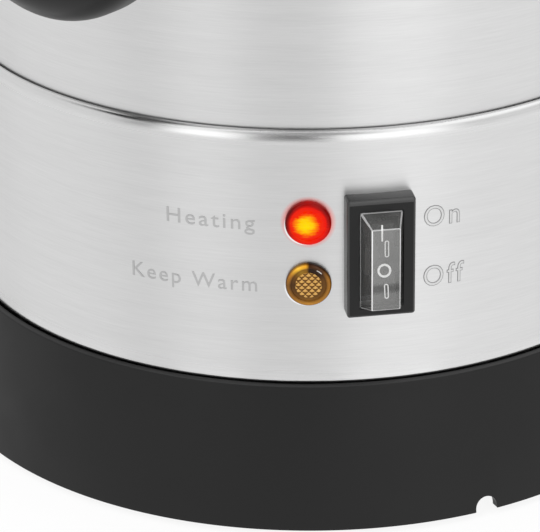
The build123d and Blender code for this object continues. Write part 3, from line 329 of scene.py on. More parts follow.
def link_mesh(name, bm, place=None):
    """Object from a bmesh, put in its place, merged and facing outwards."""
    if place is not None:
        bmesh.ops.transform(bm, matrix=place, verts=bm.verts[:])
    bmesh.ops.remove_doubles(bm, verts=bm.verts[:], dist=1e-6)
    bmesh.ops.recalc_face_normals(bm, faces=bm.faces[:])
    mesh = bpy.data.meshes.new(name)
    bm.to_mesh(mesh)
    bm.free()
    piece = bpy.data.objects.new(name, mesh)
    bpy.context.scene.collection.objects.link(piece)
    return piece


def outline_edges(bm, points, closed=True):
    """Wire through (x, z) points in the XZ plane; a third number rounds a corner."""
    verts = [bm.verts.new((x, 0.0, z)) for x, z, *_ in points]
    followers = verts[1:] + verts[:1] if closed else verts[1:]
    for start, end in zip(verts, followers):
        bm.edges.new((start, end))
    for vert, (_, _, *rounding) in zip(verts, points):
        if rounding:
            round_corners(bm, [vert], *rounding)


def round_corners(bm, verts, radius):
    """Rounds the given corners of an outline, in finer steps where the radius is large."""
    large = 0.004
    bmesh.ops.bevel(
        bm,
        geom=verts,
        offset=radius,
        offset_type="OFFSET",
        segments=CORNER_STEPS if radius < large else 3 * CORNER_STEPS,
        profile=0.5,
        affect="VERTICES",
        material=-1,
    )


def spun(bm, geom, steps, sweep=FULL_TURN, centre=ORIGIN, axis=AXIS, rise=0.0, copies=False):
    """Spins geometry, or copies of it, with a rise at each step; gives the last ones."""
    made = bmesh.ops.spin(
        bm,
        geom=geom,
        cent=centre,
        axis=axis,
        dvec=AXIS * rise,
        angle=sweep,
        steps=steps,
        use_merge=sweep == FULL_TURN,
        use_duplicate=copies,
    )
    return made["geom_last"]


def turned(name, points, steps=SMALL_STEPS, closed=True, place=None):
    """Object of revolution about local z from an outline of radii and heights."""
    bm = bmesh.new()
    outline_edges(bm, points, closed)
    spun(bm, bm.verts[:] + bm.edges[:], steps)
    return link_mesh(name, bm, place)


def pushed(bm, edges, step):
    """Extrudes a loop of edges by a step and gives the new loop."""
    made = bmesh.ops.extrude_edge_only(bm, edges=edges)["geom"]
    bmesh.ops.translate(bm, vec=step, verts=only(made, bmesh.types.BMVert))
    return only(made, bmesh.types.BMEdge)


def thicken(bm, faces, step):
    """Extrudes flat faces into a block by a step."""
    made = bmesh.ops.extrude_face_region(bm, geom=faces)["geom"]
    bmesh.ops.translate(bm, vec=step, verts=only(made, bmesh.types.BMVert))


def circle_edges(bm, radius, segments, place, filled=False):
    """Edges of a new circle."""
    made = bmesh.ops.create_circle(
        bm, cap_ends=filled, segments=segments, radius=radius, matrix=place
    )
    return list({edge for vert in made["verts"] for edge in vert.link_edges})


def rounded_loop(bm, width, height, corner, level, rise=0.0):
    """Edges of a rounded rectangle at a level of local z, moved up by a rise."""
    before = set(bm.edges)
    corners = [(-1, -1), (1, -1), (1, 1), (-1, 1)]
    verts = [bm.verts.new((x * width / 2, y * height / 2 + rise, level)) for x, y in corners]
    for start, end in zip(verts, verts[1:] + verts[:1]):
        bm.edges.new((start, end))
    round_corners(bm, verts, corner)
    return [edge for edge in bm.edges if edge not in before]


def stacked(bm, sections, first_cap=False, last_cap=False):
    """Skin over rounded rectangles (see rounded_loop); gives the faces of each step."""
    loops = [rounded_loop(bm, *section) for section in sections]
    steps = []
    for lower, upper in zip(loops, loops[1:]):
        steps.append(bmesh.ops.bridge_loops(bm, edges=lower + upper)["faces"])
    if first_cap:
        bmesh.ops.edgeloop_fill(bm, edges=loops[0])
    if last_cap:
        steps.append(bmesh.ops.edgeloop_fill(bm, edges=loops[-1])["faces"])
    return steps


def paint_faces(faces, index):
    """Gives faces one of their piece's materials."""
    for face in faces:
        face.material_index = index


def combine(piece, other, operation):
    """Boolean of two objects, applied to the first; the second goes."""
    modifier = piece.modifiers.new("combine", "BOOLEAN")
    modifier.object = other
    modifier.operation = operation
    modifier.solver = "EXACT"
    graph = bpy.context.evaluated_depsgraph_get()
    mesh = bpy.data.meshes.new_from_object(piece.evaluated_get(graph))
    if len(mesh.polygons) == 0:
        raise RuntimeError("nothing is left of " + piece.name)
    piece.modifiers.clear()
    spent = [piece.data, other.data]
    piece.data = mesh
    bpy.data.objects.remove(other)
    for old_mesh in spent:
        bpy.data.meshes.remove(old_mesh)
    mesh.name = piece.name


def cut_window(piece, width, height, depth, place):
    """Cuts a rectangular window or slot into a piece."""
    bm = bmesh.new()
    bmesh.ops.create_cube(bm, size=1.0)
    bmesh.ops.scale(bm, vec=(width, height, depth), verts=bm.verts[:])
    combine(piece, link_mesh("cutter", bm, place), "DIFFERENCE")


def cut_hole(piece, radius, depth, place, steps=SMALL_STEPS, operation="DIFFERENCE"):
    """Cuts a round hole into a piece, or keeps only what would be cut out."""
    bm = bmesh.new()
    bmesh.ops.create_cone(
        bm, cap_ends=True, segments=steps, radius1=radius, radius2=radius, depth=depth
    )
    combine(piece, link_mesh("cutter", bm, place), operation)


def seat_on_wall(piece, radius):
    """Cuts the back of a piece to the round wall it sits on."""
    tall = 1.0
    cut_hole(piece, radius + FIT, tall, None, ROUND_STEPS)


def finish_piece(piece, body, slot, node=None, materials=None, crease=30.0):
    """Shading, finish, body and the node that a piece stands for.

    Without materials a piece gets the finish of its slot; an empty list keeps those it has.
    """
    if materials is None:
        materials = [finish_of(slot)]
    for material in materials:
        piece.data.materials.append(material)
    piece.data.shade_smooth()
    piece.data.set_sharp_from_angle(angle=math.radians(crease))
    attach(piece, body)
    if node:
        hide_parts(node)


# Shader nodes


def set_inputs(tree, node, inputs):
    """Gives a node's inputs their values, or links them to the sockets given."""
    for name, value in inputs.items():
        if isinstance(value, bpy.types.NodeSocket):
            tree.links.new(value, node.inputs[name])
        else:
            node.inputs[name].default_value = value


def add_node(tree, kind, inputs, **settings):
    """New shader node with its settings and inputs."""
    node = tree.nodes.new("ShaderNode" + kind)
    for name, value in settings.items():
        setattr(node, name, value)
    set_inputs(tree, node, inputs)
    return node


def noise_value(tree, vector, scale, detail, roughness=0.5):
    """Socket: noise at a vector."""
    inputs = {"Vector": vector, "Scale": scale, "Detail": detail, "Roughness": roughness}
    return add_node(tree, "TexNoise", inputs).outputs["Fac"]


def ranged(tree, value, low, high, from_low=0.0, from_high=1.0, **settings):
    """Socket: a value taken from one range to another and kept inside it."""
    inputs = {
        "Value": value,
        "From Min": from_low,
        "From Max": from_high,
        "To Min": low,
        "To Max": high,
    }
    return add_node(tree, "MapRange", inputs, **settings).outputs["Result"]


def worked_out(tree, operation, *values):
    """Socket: math on values or sockets."""
    return add_node(tree, "Math", dict(enumerate(values)), operation=operation).outputs["Value"]


def vector_math(tree, operation, *vectors):
    """Outputs of math on vectors."""
    return add_node(tree, "VectorMath", dict(enumerate(vectors)), operation=operation).outputs


def height_of(tree, vector):
    """Socket: the height of a vector."""
    return add_node(tree, "SeparateXYZ", {"Vector": vector}).outputs["Z"]


def mixed(tree, factor, first, second, **settings):
    """Socket: from one value to another by a factor."""
    inputs = {"Factor": factor, "A": first, "B": second}
    return add_node(tree, "Mix", inputs, **settings).outputs["Result"]


def mixed_colour(tree, factor, first, second, **settings):
    """Socket: from one colour to another by a factor."""
    return mixed(tree, factor, first, second, data_type="RGBA", **settings)


def multiplied_colour(tree, first, second):
    """Socket: one colour times another."""
    return mixed_colour(tree, 1.0, first, second, blend_type="MULTIPLY")


def opaque(tint):
    """A colour with a full alpha."""
    return (*tint, 1.0)


def grey_stops(rows):
    """Stops of a colour ramp from (place, brightness) rows."""
    return [(place, (level, level, level)) for place, level in rows]


def ramp_colour(tree, value, stops):
    """Socket: a colour from (place, colour) stops."""
    ramp = add_node(tree, "ValToRGB", {"Fac": value})
    elements = ramp.color_ramp.elements
    while len(elements) < len(stops):
        elements.new(0.5)
    for element, (position, tint) in zip(elements, stops):
        element.position = position
        element.color = opaque(tint)
    return ramp.outputs["Color"]


def tone_colour(tree, tone, base, spread):
    """Socket: a colour that swings about a base colour with a tone."""
    dark = opaque(part * (1 - spread) for part in base)
    light = opaque(min(part * (1 + spread), 1.0) for part in base)
    return mixed_colour(tree, tone, dark, light)


def spot_colour(tree, coordinates, tint, centre, inner, outer, light):
    """Socket: a light colour inside a radius that fades to the tint at a larger one."""
    away = vector_math(tree, "DISTANCE", coordinates, centre)["Value"]
    fade = ranged(tree, away, 1.0, 0.0, inner, outer)
    return mixed_colour(tree, fade, tint, opaque(light))


def distance_share(tree, coordinates, centre, radius):
    """Socket that goes from 0 at a point to 1 at a radius."""
    away = vector_math(tree, "DISTANCE", coordinates, centre)["Value"]
    return ranged(tree, away, 0.0, 1.0, 0.0, radius)


def clock_share(tree, coordinates, place):
    """Socket from 0 to 1 clockwise round a place on the wall, starting underneath."""
    away = vector_math(tree, "SUBTRACT", coordinates, place.translation)["Vector"]
    right = vector_math(tree, "DOT_PRODUCT", away, place.col[0].to_3d())["Value"]
    up = vector_math(tree, "DOT_PRODUCT", away, place.col[1].to_3d())["Value"]
    turn = worked_out(tree, "ARCTAN2", right, up)
    return ranged(tree, turn, 0.0, 1.0, -math.pi, math.pi)


def bump_normal(tree, height, strength, distance):
    """Socket: a normal from a height."""
    inputs = {"Height": height, "Strength": strength, "Distance": distance}
    return add_node(tree, "Bump", inputs).outputs["Normal"]


# Shader groups and finishes


def new_group(name, setting, value):
    """Grain group with a vector and one setting; gives its tree, inputs and outputs."""
    tree = bpy.data.node_groups.new(name, "ShaderNodeTree")
    tree.interface.new_socket("Vector", in_out="INPUT", socket_type="NodeSocketVector")
    given = tree.interface.new_socket(setting, in_out="INPUT", socket_type="NodeSocketFloat")
    given.default_value = value
    for label in ("Tone", "Height"):
        tree.interface.new_socket(label, in_out="OUTPUT", socket_type="NodeSocketFloat")
    source = tree.nodes.new("NodeGroupInput")
    result = tree.nodes.new("NodeGroupOutput")
    return tree, source.outputs, result


def brushed_grain():
    """Group: fine brushing from a vector that is already drawn out along the grain."""
    name = "brushed_grain"
    if name in bpy.data.node_groups:
        return bpy.data.node_groups[name]
    tree, given, result = new_group(name, "Broad", 0.35)
    fine = noise_value(tree, given["Vector"], 1.0, 4.0, 0.65)
    broad = noise_value(tree, given["Vector"], 0.12, 2.0)
    tone = ranged(tree, mixed(tree, given["Broad"], fine, broad), 0.0, 1.0, 0.3, 0.7)
    set_inputs(tree, result, {"Tone": tone, "Height": fine})
    return tree


def moulded_grain():
    """Group: fine texture of a moulded surface and slow changes of tone."""
    name = "moulded_grain"
    if name in bpy.data.node_groups:
        return bpy.data.node_groups[name]
    tree, given, result = new_group(name, "Scale", 1800.0)
    fine = noise_value(tree, given["Vector"], given["Scale"], 3.0, 0.6)
    slow = noise_value(tree, given["Vector"], 45.0, 3.0)
    tone = ranged(tree, slow, 0.0, 1.0, 0.3, 0.7)
    set_inputs(tree, result, {"Tone": tone, "Height": fine})
    return tree


def new_finish(name):
    """Material with its tree, shader and object coordinates."""
    material = bpy.data.materials.new(name)
    material.use_nodes = True
    tree = material.node_tree
    coordinates = add_node(tree, "TexCoord", {}).outputs["Object"]
    return material, tree, tree.nodes["Principled BSDF"], coordinates


def steel_finish(name, base, roughness, scale, stretch=0.0, depth=0.12, spots=(), worn=None):
    """Brushed metal: grain drawn out by the scale, a highlight stretched across it, spots of light.

    Worn gives the two heights between which the steel goes from smoothed to brushed.
    """
    material, tree, shader, coordinates = new_finish(name)
    drawn = add_node(tree, "Mapping", {"Vector": coordinates, "Scale": scale}).outputs["Vector"]
    grain = add_node(tree, "Group", {"Vector": drawn}, node_tree=brushed_grain())
    tone = grain.outputs["Tone"]
    tint = tone_colour(tree, tone, base, 0.06)
    for centre, inner, outer, light in spots:
        tint = spot_colour(tree, coordinates, tint, centre, inner, outer, light)
    rough = ranged(tree, tone, roughness - ROUGH_SWING, roughness + ROUGH_SWING)
    if worn:
        near_lip = ranged(tree, height_of(tree, coordinates), 0.3, 1.0, *worn)
        rough = worked_out(tree, "MULTIPLY", rough, near_lip)
    inputs = {
        "Base Color": tint,
        "Roughness": rough,
        "Metallic": 1.0,
        "Normal": bump_normal(tree, grain.outputs["Height"], depth, distance=0.00005),
    }
    if stretch > 0.0:
        quarter_turn = 0.25
        tangent = add_node(tree, "Tangent", {}, direction_type="RADIAL", axis="Z")
        inputs["Anisotropic"] = stretch
        inputs["Anisotropic Rotation"] = quarter_turn
        inputs["Tangent"] = tangent.outputs["Tangent"]
    set_inputs(tree, shader, inputs)
    return material


def moulded_surface(tree, shader, coordinates, roughness, scale, depth, swing=ROUGH_SWING):
    """Fine moulded texture on a shader; gives the tone of its grain."""
    texture = {"Vector": coordinates, "Scale": scale}
    grain = add_node(tree, "Group", texture, node_tree=moulded_grain())
    tone = grain.outputs["Tone"]
    inputs = {
        "Roughness": ranged(tree, tone, roughness - swing, roughness + swing),
        "Normal": bump_normal(tree, grain.outputs["Height"], depth, distance=0.0001),
    }
    set_inputs(tree, shader, inputs)
    return tone


def plastic_finish(name, base, roughness, scale, depth, gloss=0.3):
    """Moulded plastic, rubber or ceramic with a fine texture."""
    material, tree, shader, coordinates = new_finish(name)
    tone = moulded_surface(tree, shader, coordinates, roughness, scale, depth)
    tint = tone_colour(tree, tone, base, 0.08)
    set_inputs(tree, shader, {"Base Color": tint, "Specular IOR Level": gloss})
    return material


def new_lens(name, gloss):
    """Smooth, faintly uneven lens: as new_finish, and the tone of its grain."""
    material, tree, shader, coordinates = new_finish(name)
    tone = moulded_surface(tree, shader, coordinates, 0.15, 900.0, 0.04)
    set_inputs(tree, shader, {"Specular IOR Level": gloss})
    return material, tree, shader, coordinates, tone


def lit_finish(name, middle, place, radius, stops, rim_stops, clock_stops):
    """Lit lens: streaky light outwards from its middle, shaded at its rim by the clock."""
    material, tree, shader, coordinates, tone = new_lens(name, 0.1)
    streak_scale = (150.0, 150.0, 1300.0)
    dim_red, dark_red = (0.05, 0.001, 0.001), (0.02, 0.0, 0.0)
    streaks = add_node(tree, "Mapping", {"Vector": coordinates, "Scale": streak_scale})
    noise = noise_value(tree, streaks.outputs["Vector"], 1.0, 3.0, 0.6)
    swing = ranged(tree, noise, -0.14, 0.14, 0.25, 0.75)
    outwards = worked_out(tree, "ADD", distance_share(tree, coordinates, middle, radius), swing)
    light = ramp_colour(tree, outwards, stops)
    rim = ramp_colour(tree, distance_share(tree, coordinates, place.translation, radius), rim_stops)
    around = ramp_colour(tree, clock_share(tree, coordinates, place), clock_stops)
    shade = multiplied_colour(tree, rim, around)
    inputs = {
        "Base Color": tone_colour(tree, tone, dim_red, 0.2),
        "Emission Color": mixed_colour(tree, shade, light, opaque(dark_red)),
        "Emission Strength": 1.0,
    }
    set_inputs(tree, shader, inputs)
    return material


def ring_finish(name, place, radius, clock_stops, rim_stops, glints):
    """Unlit lens: a tint with painted highlight and shade that changes round it, painted shade by
    radius, and small painted glints.
    """
    material, tree, shader, coordinates, _ = new_lens(name, 0.2)
    around = ramp_colour(tree, clock_share(tree, coordinates, place), clock_stops)
    outwards = distance_share(tree, coordinates, place.translation, radius)
    tint = multiplied_colour(tree, around, ramp_colour(tree, outwards, rim_stops))
    inner, outer, pale = 0.00015, 0.0005, (0.95, 0.92, 0.86)
    for glint in glints:
        tint = spot_colour(tree, coordinates, tint, glint, inner, outer, pale)
    set_inputs(tree, shader, {"Base Color": tint})
    return material


def facet_finish(name, base, gloss):
    """Clear facets of one tone."""
    material, tree, shader, _, tone = new_lens(name, gloss)
    set_inputs(tree, shader, {"Base Color": tone_colour(tree, tone, base, 0.15)})
    return material


def thinned(tree, coordinates, film, height, half):
    """Socket: a film that is half as thick at a height and whole away from it."""
    away = worked_out(tree, "SUBTRACT", height_of(tree, coordinates), height)
    apart = worked_out(tree, "ABSOLUTE", away)
    part = ranged(tree, apart, 0.5, 1.0, half / 2, half * 1.5)
    return worked_out(tree, "MULTIPLY", film, part)


def boot_finish(name, base, opacity, roughness=0.2, thin_band=None):
    """Clear silicone: a milky film over what is behind it, thinner in a band (height, half)."""
    material, tree, shader, coordinates = new_finish(name)
    tone = moulded_surface(tree, shader, coordinates, roughness, 700.0, 0.04, 0.04)
    film = ranged(tree, tone, opacity * 0.85, min(opacity * 1.15, 1.0))
    if thin_band:
        film = thinned(tree, coordinates, film, *thin_band)
    tint = tone_colour(tree, tone, base, 0.1)
    set_inputs(tree, shader, {"Base Color": tint, "Alpha": film})
    return material


def make_finish(slot):
    """The finish of one of the record's material slots."""
    tints = bpy.context.scene.warmer_finish
    gloss_black, matt_black = tints.gloss_black, tints.matt_black
    # Colour, roughness, scale of the grain, stretch of the highlight and depth of the grain
    metals = {
        "brushed_jacket": (tints.steel, 0.34, AROUND, 0.5),
        "brushed_lid": (tints.steel, 0.32, (900.0, 900.0, 900.0), 0.5, 0.06),
        "polished_tank": ((0.86, 0.86, 0.85), 0.38, (40.0, 40.0, 1500.0), 0.0, 0.05),
        "sheet_steel": ((0.55, 0.55, 0.54), 0.4, (30.0, 900.0, 30.0)),
        "zinc_steel": ((0.6, 0.6, 0.57), 0.3, (1200.0, 1200.0, 300.0)),
        "stem_steel": ((0.63, 0.63, 0.62), 0.22, (200.0, 200.0, 4000.0)),
        "spreader_aluminium": ((0.7, 0.7, 0.69), 0.45, (500.0, 500.0, 500.0)),
        "element_sheath": ((0.32, 0.29, 0.25), 0.42, (400.0, 400.0, 400.0)),
        "pin_brass": ((0.74, 0.68, 0.52), 0.25, (300.0, 2500.0, 300.0)),
    }
    # Colour, roughness, scale of the texture, its depth and the gloss
    plastics = {
        "base_black": (tints.base_black, 0.5, 2200.0, 0.15, 0.3),
        "rubber": (tints.rubber_black, 0.75, 1500.0, 0.25),
        "switch_black": (gloss_black, 0.34, 2600.0, 0.06, 0.27),
        "rocker_black": (gloss_black, 0.34, 2600.0, 0.06, 0.27),
        "lamp_black": (gloss_black, 0.34, 2600.0, 0.06, 0.27),
        "tap_black": (gloss_black, 0.36, 1200.0, 0.03, 0.24),
        "lever_black": (gloss_black, 0.36, 1200.0, 0.03, 0.24),
        "handle_black": (matt_black, 0.45, 2000.0, 0.15),
        "inlet_black": (matt_black, 0.45, 2000.0, 0.15),
        "sensor_ceramic": ((0.7, 0.67, 0.6), 0.7, 1500.0, 0.2),
        "white_nylon": ((0.78, 0.78, 0.75), 0.5, 1800.0, 0.1),
        "seat_silicone": ((0.82, 0.82, 0.8), 0.4, 1800.0, 0.05),
    }
    if slot in metals:
        return steel_finish(slot, *metals[slot])
    if slot in plastics:
        return plastic_finish(slot, *plastics[slot])
    raise RuntimeError("no finish is written for slot " + slot)


def finish_of(slot):
    """The slot's finish, made once; a packed material of that name gives the name up."""
    found = bpy.data.materials.get(slot)
    if found and found.get("warmer_finish"):
        return found
    if found:
        found.name = "packed_" + slot
    material = make_finish(slot)
    material["warmer_finish"] = True
    return material


# Operators


class WARMER_OT_base(bpy.types.Operator):
    """Flared base with its arches, and the rubber feet"""

    bl_idname = "warmer.base"
    bl_label = "Base and feet"

    def execute(self, context):
        size = context.scene.warmer_walls
        tints = context.scene.warmer_finish
        inner_foot_round = 0.0003
        lip_round, inner_lip_round = 0.0010, 0.0002
        lip_highlight_depth = 0.0011
        ledge = size.band_bottom
        ledge_under = ledge - size.base_wall
        lip_inner = size.lip_radius - size.lip_wall
        slope = (size.lip_radius - size.foot_radius) / (size.base_top - size.foot_lift)
        under_radius = size.foot_radius + slope * (ledge_under - size.foot_lift) - size.base_wall
        base = turned(
            "base_ring_skin",
            [
                (size.foot_radius, size.foot_lift, FINE_ROUND),
                (size.lip_radius, size.base_top, lip_round),
                (lip_inner, size.base_top, inner_lip_round),
                (lip_inner, ledge),
                (size.ledge_radius, ledge),
                (size.ledge_radius, ledge_under),
                (under_radius, ledge_under),
                (size.foot_radius - size.base_wall, size.foot_lift, inner_foot_round),
            ],
            ROUND_STEPS,
        )
        for i in range(4):
            self.notch(base, size, size.notch_azimuth + i * math.pi / 2)
        # Upward facing faces of the lip's rounding get a lighter, glossier black: a painted highlight
        for face in base.data.polygons:
            on_lip = face.center.z > size.base_top - lip_highlight_depth
            face.material_index = int(on_lip and 0.5 < face.normal.z < 0.95)
        near_lip = plastic_finish("base_lip_highlight", tints.lip_highlight_black, 0.45, 2200.0, 0.1, 0.4)
        finish_piece(base, "body", "base_black", "base_ring", [finish_of("base_black"), near_lip])
        self.feet(size)
        return {"FINISHED"}

    def notch(self, base, size, azimuth):
        """Cuts an arch with eased mouth corners."""
        half, top = size.notch_width / 2, size.notch_height
        arch = half * 0.999
        ease, below = FINE_ROUND, -0.003
        depth, clear = 0.009, 0.002
        bm = bmesh.new()
        outline_edges(
            bm,
            [
                (-half, top, arch),
                (half, top, arch),
                (half, 0.0, ease),
                (half + ease, 0.0),
                (half + ease, below),
                (-half - ease, below),
                (-half - ease, 0.0),
                (-half, 0.0, ease),
            ],
        )
        face = bmesh.ops.contextual_create(bm, geom=bm.edges[:])["faces"]
        thicken(bm, face, (0.0, depth, 0.0))
        front = Matrix.Translation((0.0, -size.foot_radius - clear, size.foot_lift))
        cutter = link_mesh("cutter", bm, Matrix.Rotation(azimuth, 4, "Z") @ front)
        combine(base, cutter, "DIFFERENCE")

    def feet(self, size):
        """Four tapered rubber feet in one piece."""
        radius, top = size.rubber_radius, size.foot_height
        pocket, hole, soft = 0.0042, 0.0022, 0.0008
        bm = bmesh.new()
        outline_edges(
            bm,
            [
                (pocket, 0.0, soft / 2),
                (radius - soft, 0.0, soft),
                (radius, top),
                (hole, top),
                (hole, pocket),
                (pocket, pocket),
            ],
        )
        spun(bm, bm.verts[:] + bm.edges[:], SMALL_STEPS)
        azimuth = size.notch_azimuth + math.pi / 4
        side = Matrix.Rotation(azimuth, 4, "Z") @ Vector((0.0, -size.foot_circle, 0.0))
        bmesh.ops.translate(bm, vec=side, verts=bm.verts[:])
        spun(bm, bm.verts[:] + bm.edges[:] + bm.faces[:], 3, 0.75 * FULL_TURN, copies=True)
        finish_piece(link_mesh("rubber_feet_skin", bm), "body", "rubber", "rubber_feet")


class WARMER_OT_walls(bpy.types.Operator):
    """Control band, jacket and the tank's wall with its rim"""

    bl_idname = "warmer.walls"
    bl_label = "Steel walls"

    def execute(self, context):
        size = context.scene.warmer_walls
        radius, bottom, top = size.jacket_radius, size.jacket_bottom, size.jacket_top
        tap_hole, jacket_cut, tank_cut = 0.0082, 0.02, 0.03
        through = wall_place(0.0, radius, context.scene.warmer_tap.axis_height)
        self.band(context, size)
        inner = radius - size.sheet
        jacket = turned(
            "outer_jacket_skin",
            [(radius, bottom), (radius, top), (inner, top), (inner, bottom)],
            ROUND_STEPS,
        )
        cut_hole(jacket, tap_hole, jacket_cut, through)
        finish_piece(jacket, "body", "brushed_jacket", "outer_jacket")
        rim_gap, rim_round, fold_round = 0.0002, 0.0007, 0.0003
        rim_inner = radius + rim_gap
        rim_outer = rim_inner + size.sheet
        rim_top = top + size.sheet
        fold = top - size.rim_depth
        tank_outer = size.tank_radius + size.sheet
        tank = turned(
            "tank_wall_skin",
            [
                (size.tank_radius, size.tank_weld),
                (size.tank_radius, rim_top, EDGE_ROUND),
                (rim_outer, rim_top, rim_round),
                (rim_outer, fold, fold_round),
                (rim_inner, fold),
                (rim_inner, top),
                (tank_outer, top),
                (tank_outer, size.tank_weld),
            ],
            ROUND_STEPS,
        )
        cut_hole(tank, tap_hole, tank_cut, through)
        finish_piece(tank, "body", "polished_tank", "tank_wall")
        return {"FINISHED"}

    def band(self, context, size):
        """Band with a rounded shoulder, folded down at the jacket, and its windows."""
        collar = size.jacket_radius + size.seam
        collar_inner = collar + size.sheet
        depth = size.band_radius - collar
        bend = size.band_top - size.shoulder
        inner = size.band_radius - size.sheet
        curve = [
            (collar + depth * math.cos(turn), bend + size.shoulder * math.sin(turn))
            for turn in quarter_turns(3 * CORNER_STEPS)
        ]
        shelf = size.jacket_bottom
        shelf_width = 0.004
        shelf_inner = collar_inner - shelf_width
        band = turned(
            "control_band_skin",
            [
                (inner, size.band_bottom),
                (size.band_radius, size.band_bottom),
                *curve,
                (collar, shelf),
                (shelf_inner, shelf),
                (shelf_inner, shelf - size.sheet),
                (collar_inner, shelf - size.sheet),
                (collar_inner, size.band_top - 2 * size.sheet),
                (inner, bend),
            ],
            ROUND_STEPS,
        )
        self.windows(context, size, band)
        tints = context.scene.warmer_finish
        smooth_rise, brushed_rise = 0.0004, 0.005
        worn = (size.base_top + smooth_rise, size.base_top + brushed_rise)
        spots = self.spots(context.scene.warmer_panel, size.band_radius, tints.halo)
        steel = steel_finish("band_steel", tints.steel, 0.34, AROUND, 0.5, spots=spots, worn=worn)
        pressed = steel_finish("shoulder_steel", tints.steel, 0.24, AROUND)
        finish_piece(band, "body", "brushed_band", "control_band", [steel, pressed])
        for face in band.data.polygons:
            if face.center.z > bend and face.normal.z > 0.0:
                face.material_index = 1

    def windows(self, context, size, band):
        """Openings for the lamps, the switch and the power inlet."""
        panel = context.scene.warmer_panel
        fitting = context.scene.warmer_fittings
        lamp_hole, lamp_depth = 0.00515, 0.012
        switch_window = (0.0133, 0.0263, 0.016)
        inlet_window = (0.0201, 0.0276, 0.016)
        for height in (panel.heating_height, panel.warm_height):
            place = wall_place(panel.lamp_azimuth, size.band_radius, height)
            cut_hole(band, lamp_hole, lamp_depth, place)
        place = wall_place(panel.switch_azimuth, size.band_radius, panel.switch_height)
        cut_window(band, *switch_window, place)
        place = wall_place(math.pi, size.band_radius, fitting.inlet_height)
        cut_window(band, *inlet_window, place)

    def spots(self, panel, radius, halo):
        """Red light round the heating lamp, and a white gleam beside each lamp."""
        under, fade, spread = 0.0006, 0.00015, 0.0014
        aside = Vector((-0.00084, -0.00105, 0.0))
        edge = panel.lens_radius - under
        heating = wall_place(panel.lamp_azimuth, radius, panel.heating_height)
        spots = [(heating.translation, edge, panel.lens_radius + spread, halo)]
        for height in (panel.heating_height, panel.warm_height):
            gleam = wall_place(panel.lamp_azimuth, radius, height) @ aside
            spots.append((gleam, edge - fade, edge + fade, WHITE))
        return spots


class WARMER_OT_words(bpy.types.Operator):
    """Plain raised words on the band beside the lamps and the switch"""

    bl_idname = "warmer.words"
    bl_label = "Words"

    def execute(self, context):
        tints = context.scene.warmer_finish
        panel = context.scene.warmer_panel
        base_top = context.scene.warmer_walls.base_top
        dull = steel_finish("word_dull", tints.word, 0.4, AROUND, 0.4)
        plain = steel_finish("word_plain", tints.word_plain, 0.32, AROUND, 0.5)
        # Darker steel on the letters' side faces: painted shade
        edge = steel_finish("word_edge_shade", tints.word_edge_shade, 0.4, AROUND)
        small, large = panel.letter_height, panel.large_letter
        small_edge, large_edge = (0.003, 0.012), (0.016, 0.026)
        rows = [
            ("heating_word", "Heating", 18.0, 31.6, 0.0457, small, small_edge, [dull, dull]),
            ("keep_warm_word", "Keep Warm", 12.0, 31.8, 0.0274, small, small_edge, [dull, dull]),
            ("on_word", "On", 56.7, 62.4, 0.0448, large, large_edge, [plain, edge]),
            ("off_word", "Off", 56.7, 63.2, 0.0270, large, large_edge, [plain, edge]),
        ]
        for name, text, start, end, rise, height, rim, materials in rows:
            low, high = math.radians(start), math.radians(end)
            word = self.word(context, name, text, low, high, base_top + rise, height, rim)
            finish_piece(word, "body", "brushed_band", materials=materials)
        return {"FINISHED"}

    def letters(self, context, name, text, rim):
        """Letters as a bmesh, in the font's own units, with a rim of (spread, slope)."""
        spread, slope = rim
        curve = bpy.data.curves.new(name, "FONT")
        curve.body = text
        curve.offset = spread - slope
        curve.bevel_depth = slope
        curve.bevel_resolution = 1
        curve.space_character = 1.2
        curve.resolution_u = 4
        source = bpy.data.objects.new(name, curve)
        context.scene.collection.objects.link(source)
        graph = context.evaluated_depsgraph_get()
        mesh = bpy.data.meshes.new_from_object(source.evaluated_get(graph))
        bm = bmesh.new()
        bm.from_mesh(mesh)
        bpy.data.objects.remove(source)
        bpy.data.curves.remove(curve)
        bpy.data.meshes.remove(mesh)
        return bm

    def word(self, context, name, text, low, high, level, height, rim):
        """One word, sized between two azimuths and wrapped on the band."""
        radius = context.scene.warmer_walls.band_radius
        panel = context.scene.warmer_panel
        capital = self.letters(context, name, "H", rim)
        tall = max(vert.co.y for vert in capital.verts)
        capital.free()
        bm = self.letters(context, name, text, rim)
        bmesh.ops.remove_doubles(bm, verts=bm.verts[:], dist=1e-5)
        for face in bm.faces:
            face.material_index = 0 if abs(face.normal.z) > 0.95 else 1
        across = [vert.co.x for vert in bm.verts]
        proud = max(vert.co.z for vert in bm.verts)
        bmesh.ops.translate(bm, vec=(-min(across), 0.0, 0.0), verts=bm.verts[:])
        stretch = (high - low) * radius / (max(across) - min(across))
        sizes = (stretch, height / tall, panel.letter_proud / proud)
        bmesh.ops.scale(bm, vec=sizes, verts=bm.verts[:])
        for vert in bm.verts:
            place = wall_place(low + vert.co.x / radius, radius + vert.co.z, level)
            vert.co = place @ Vector((0.0, vert.co.y, 0.0))
        return link_mesh(name, bm)


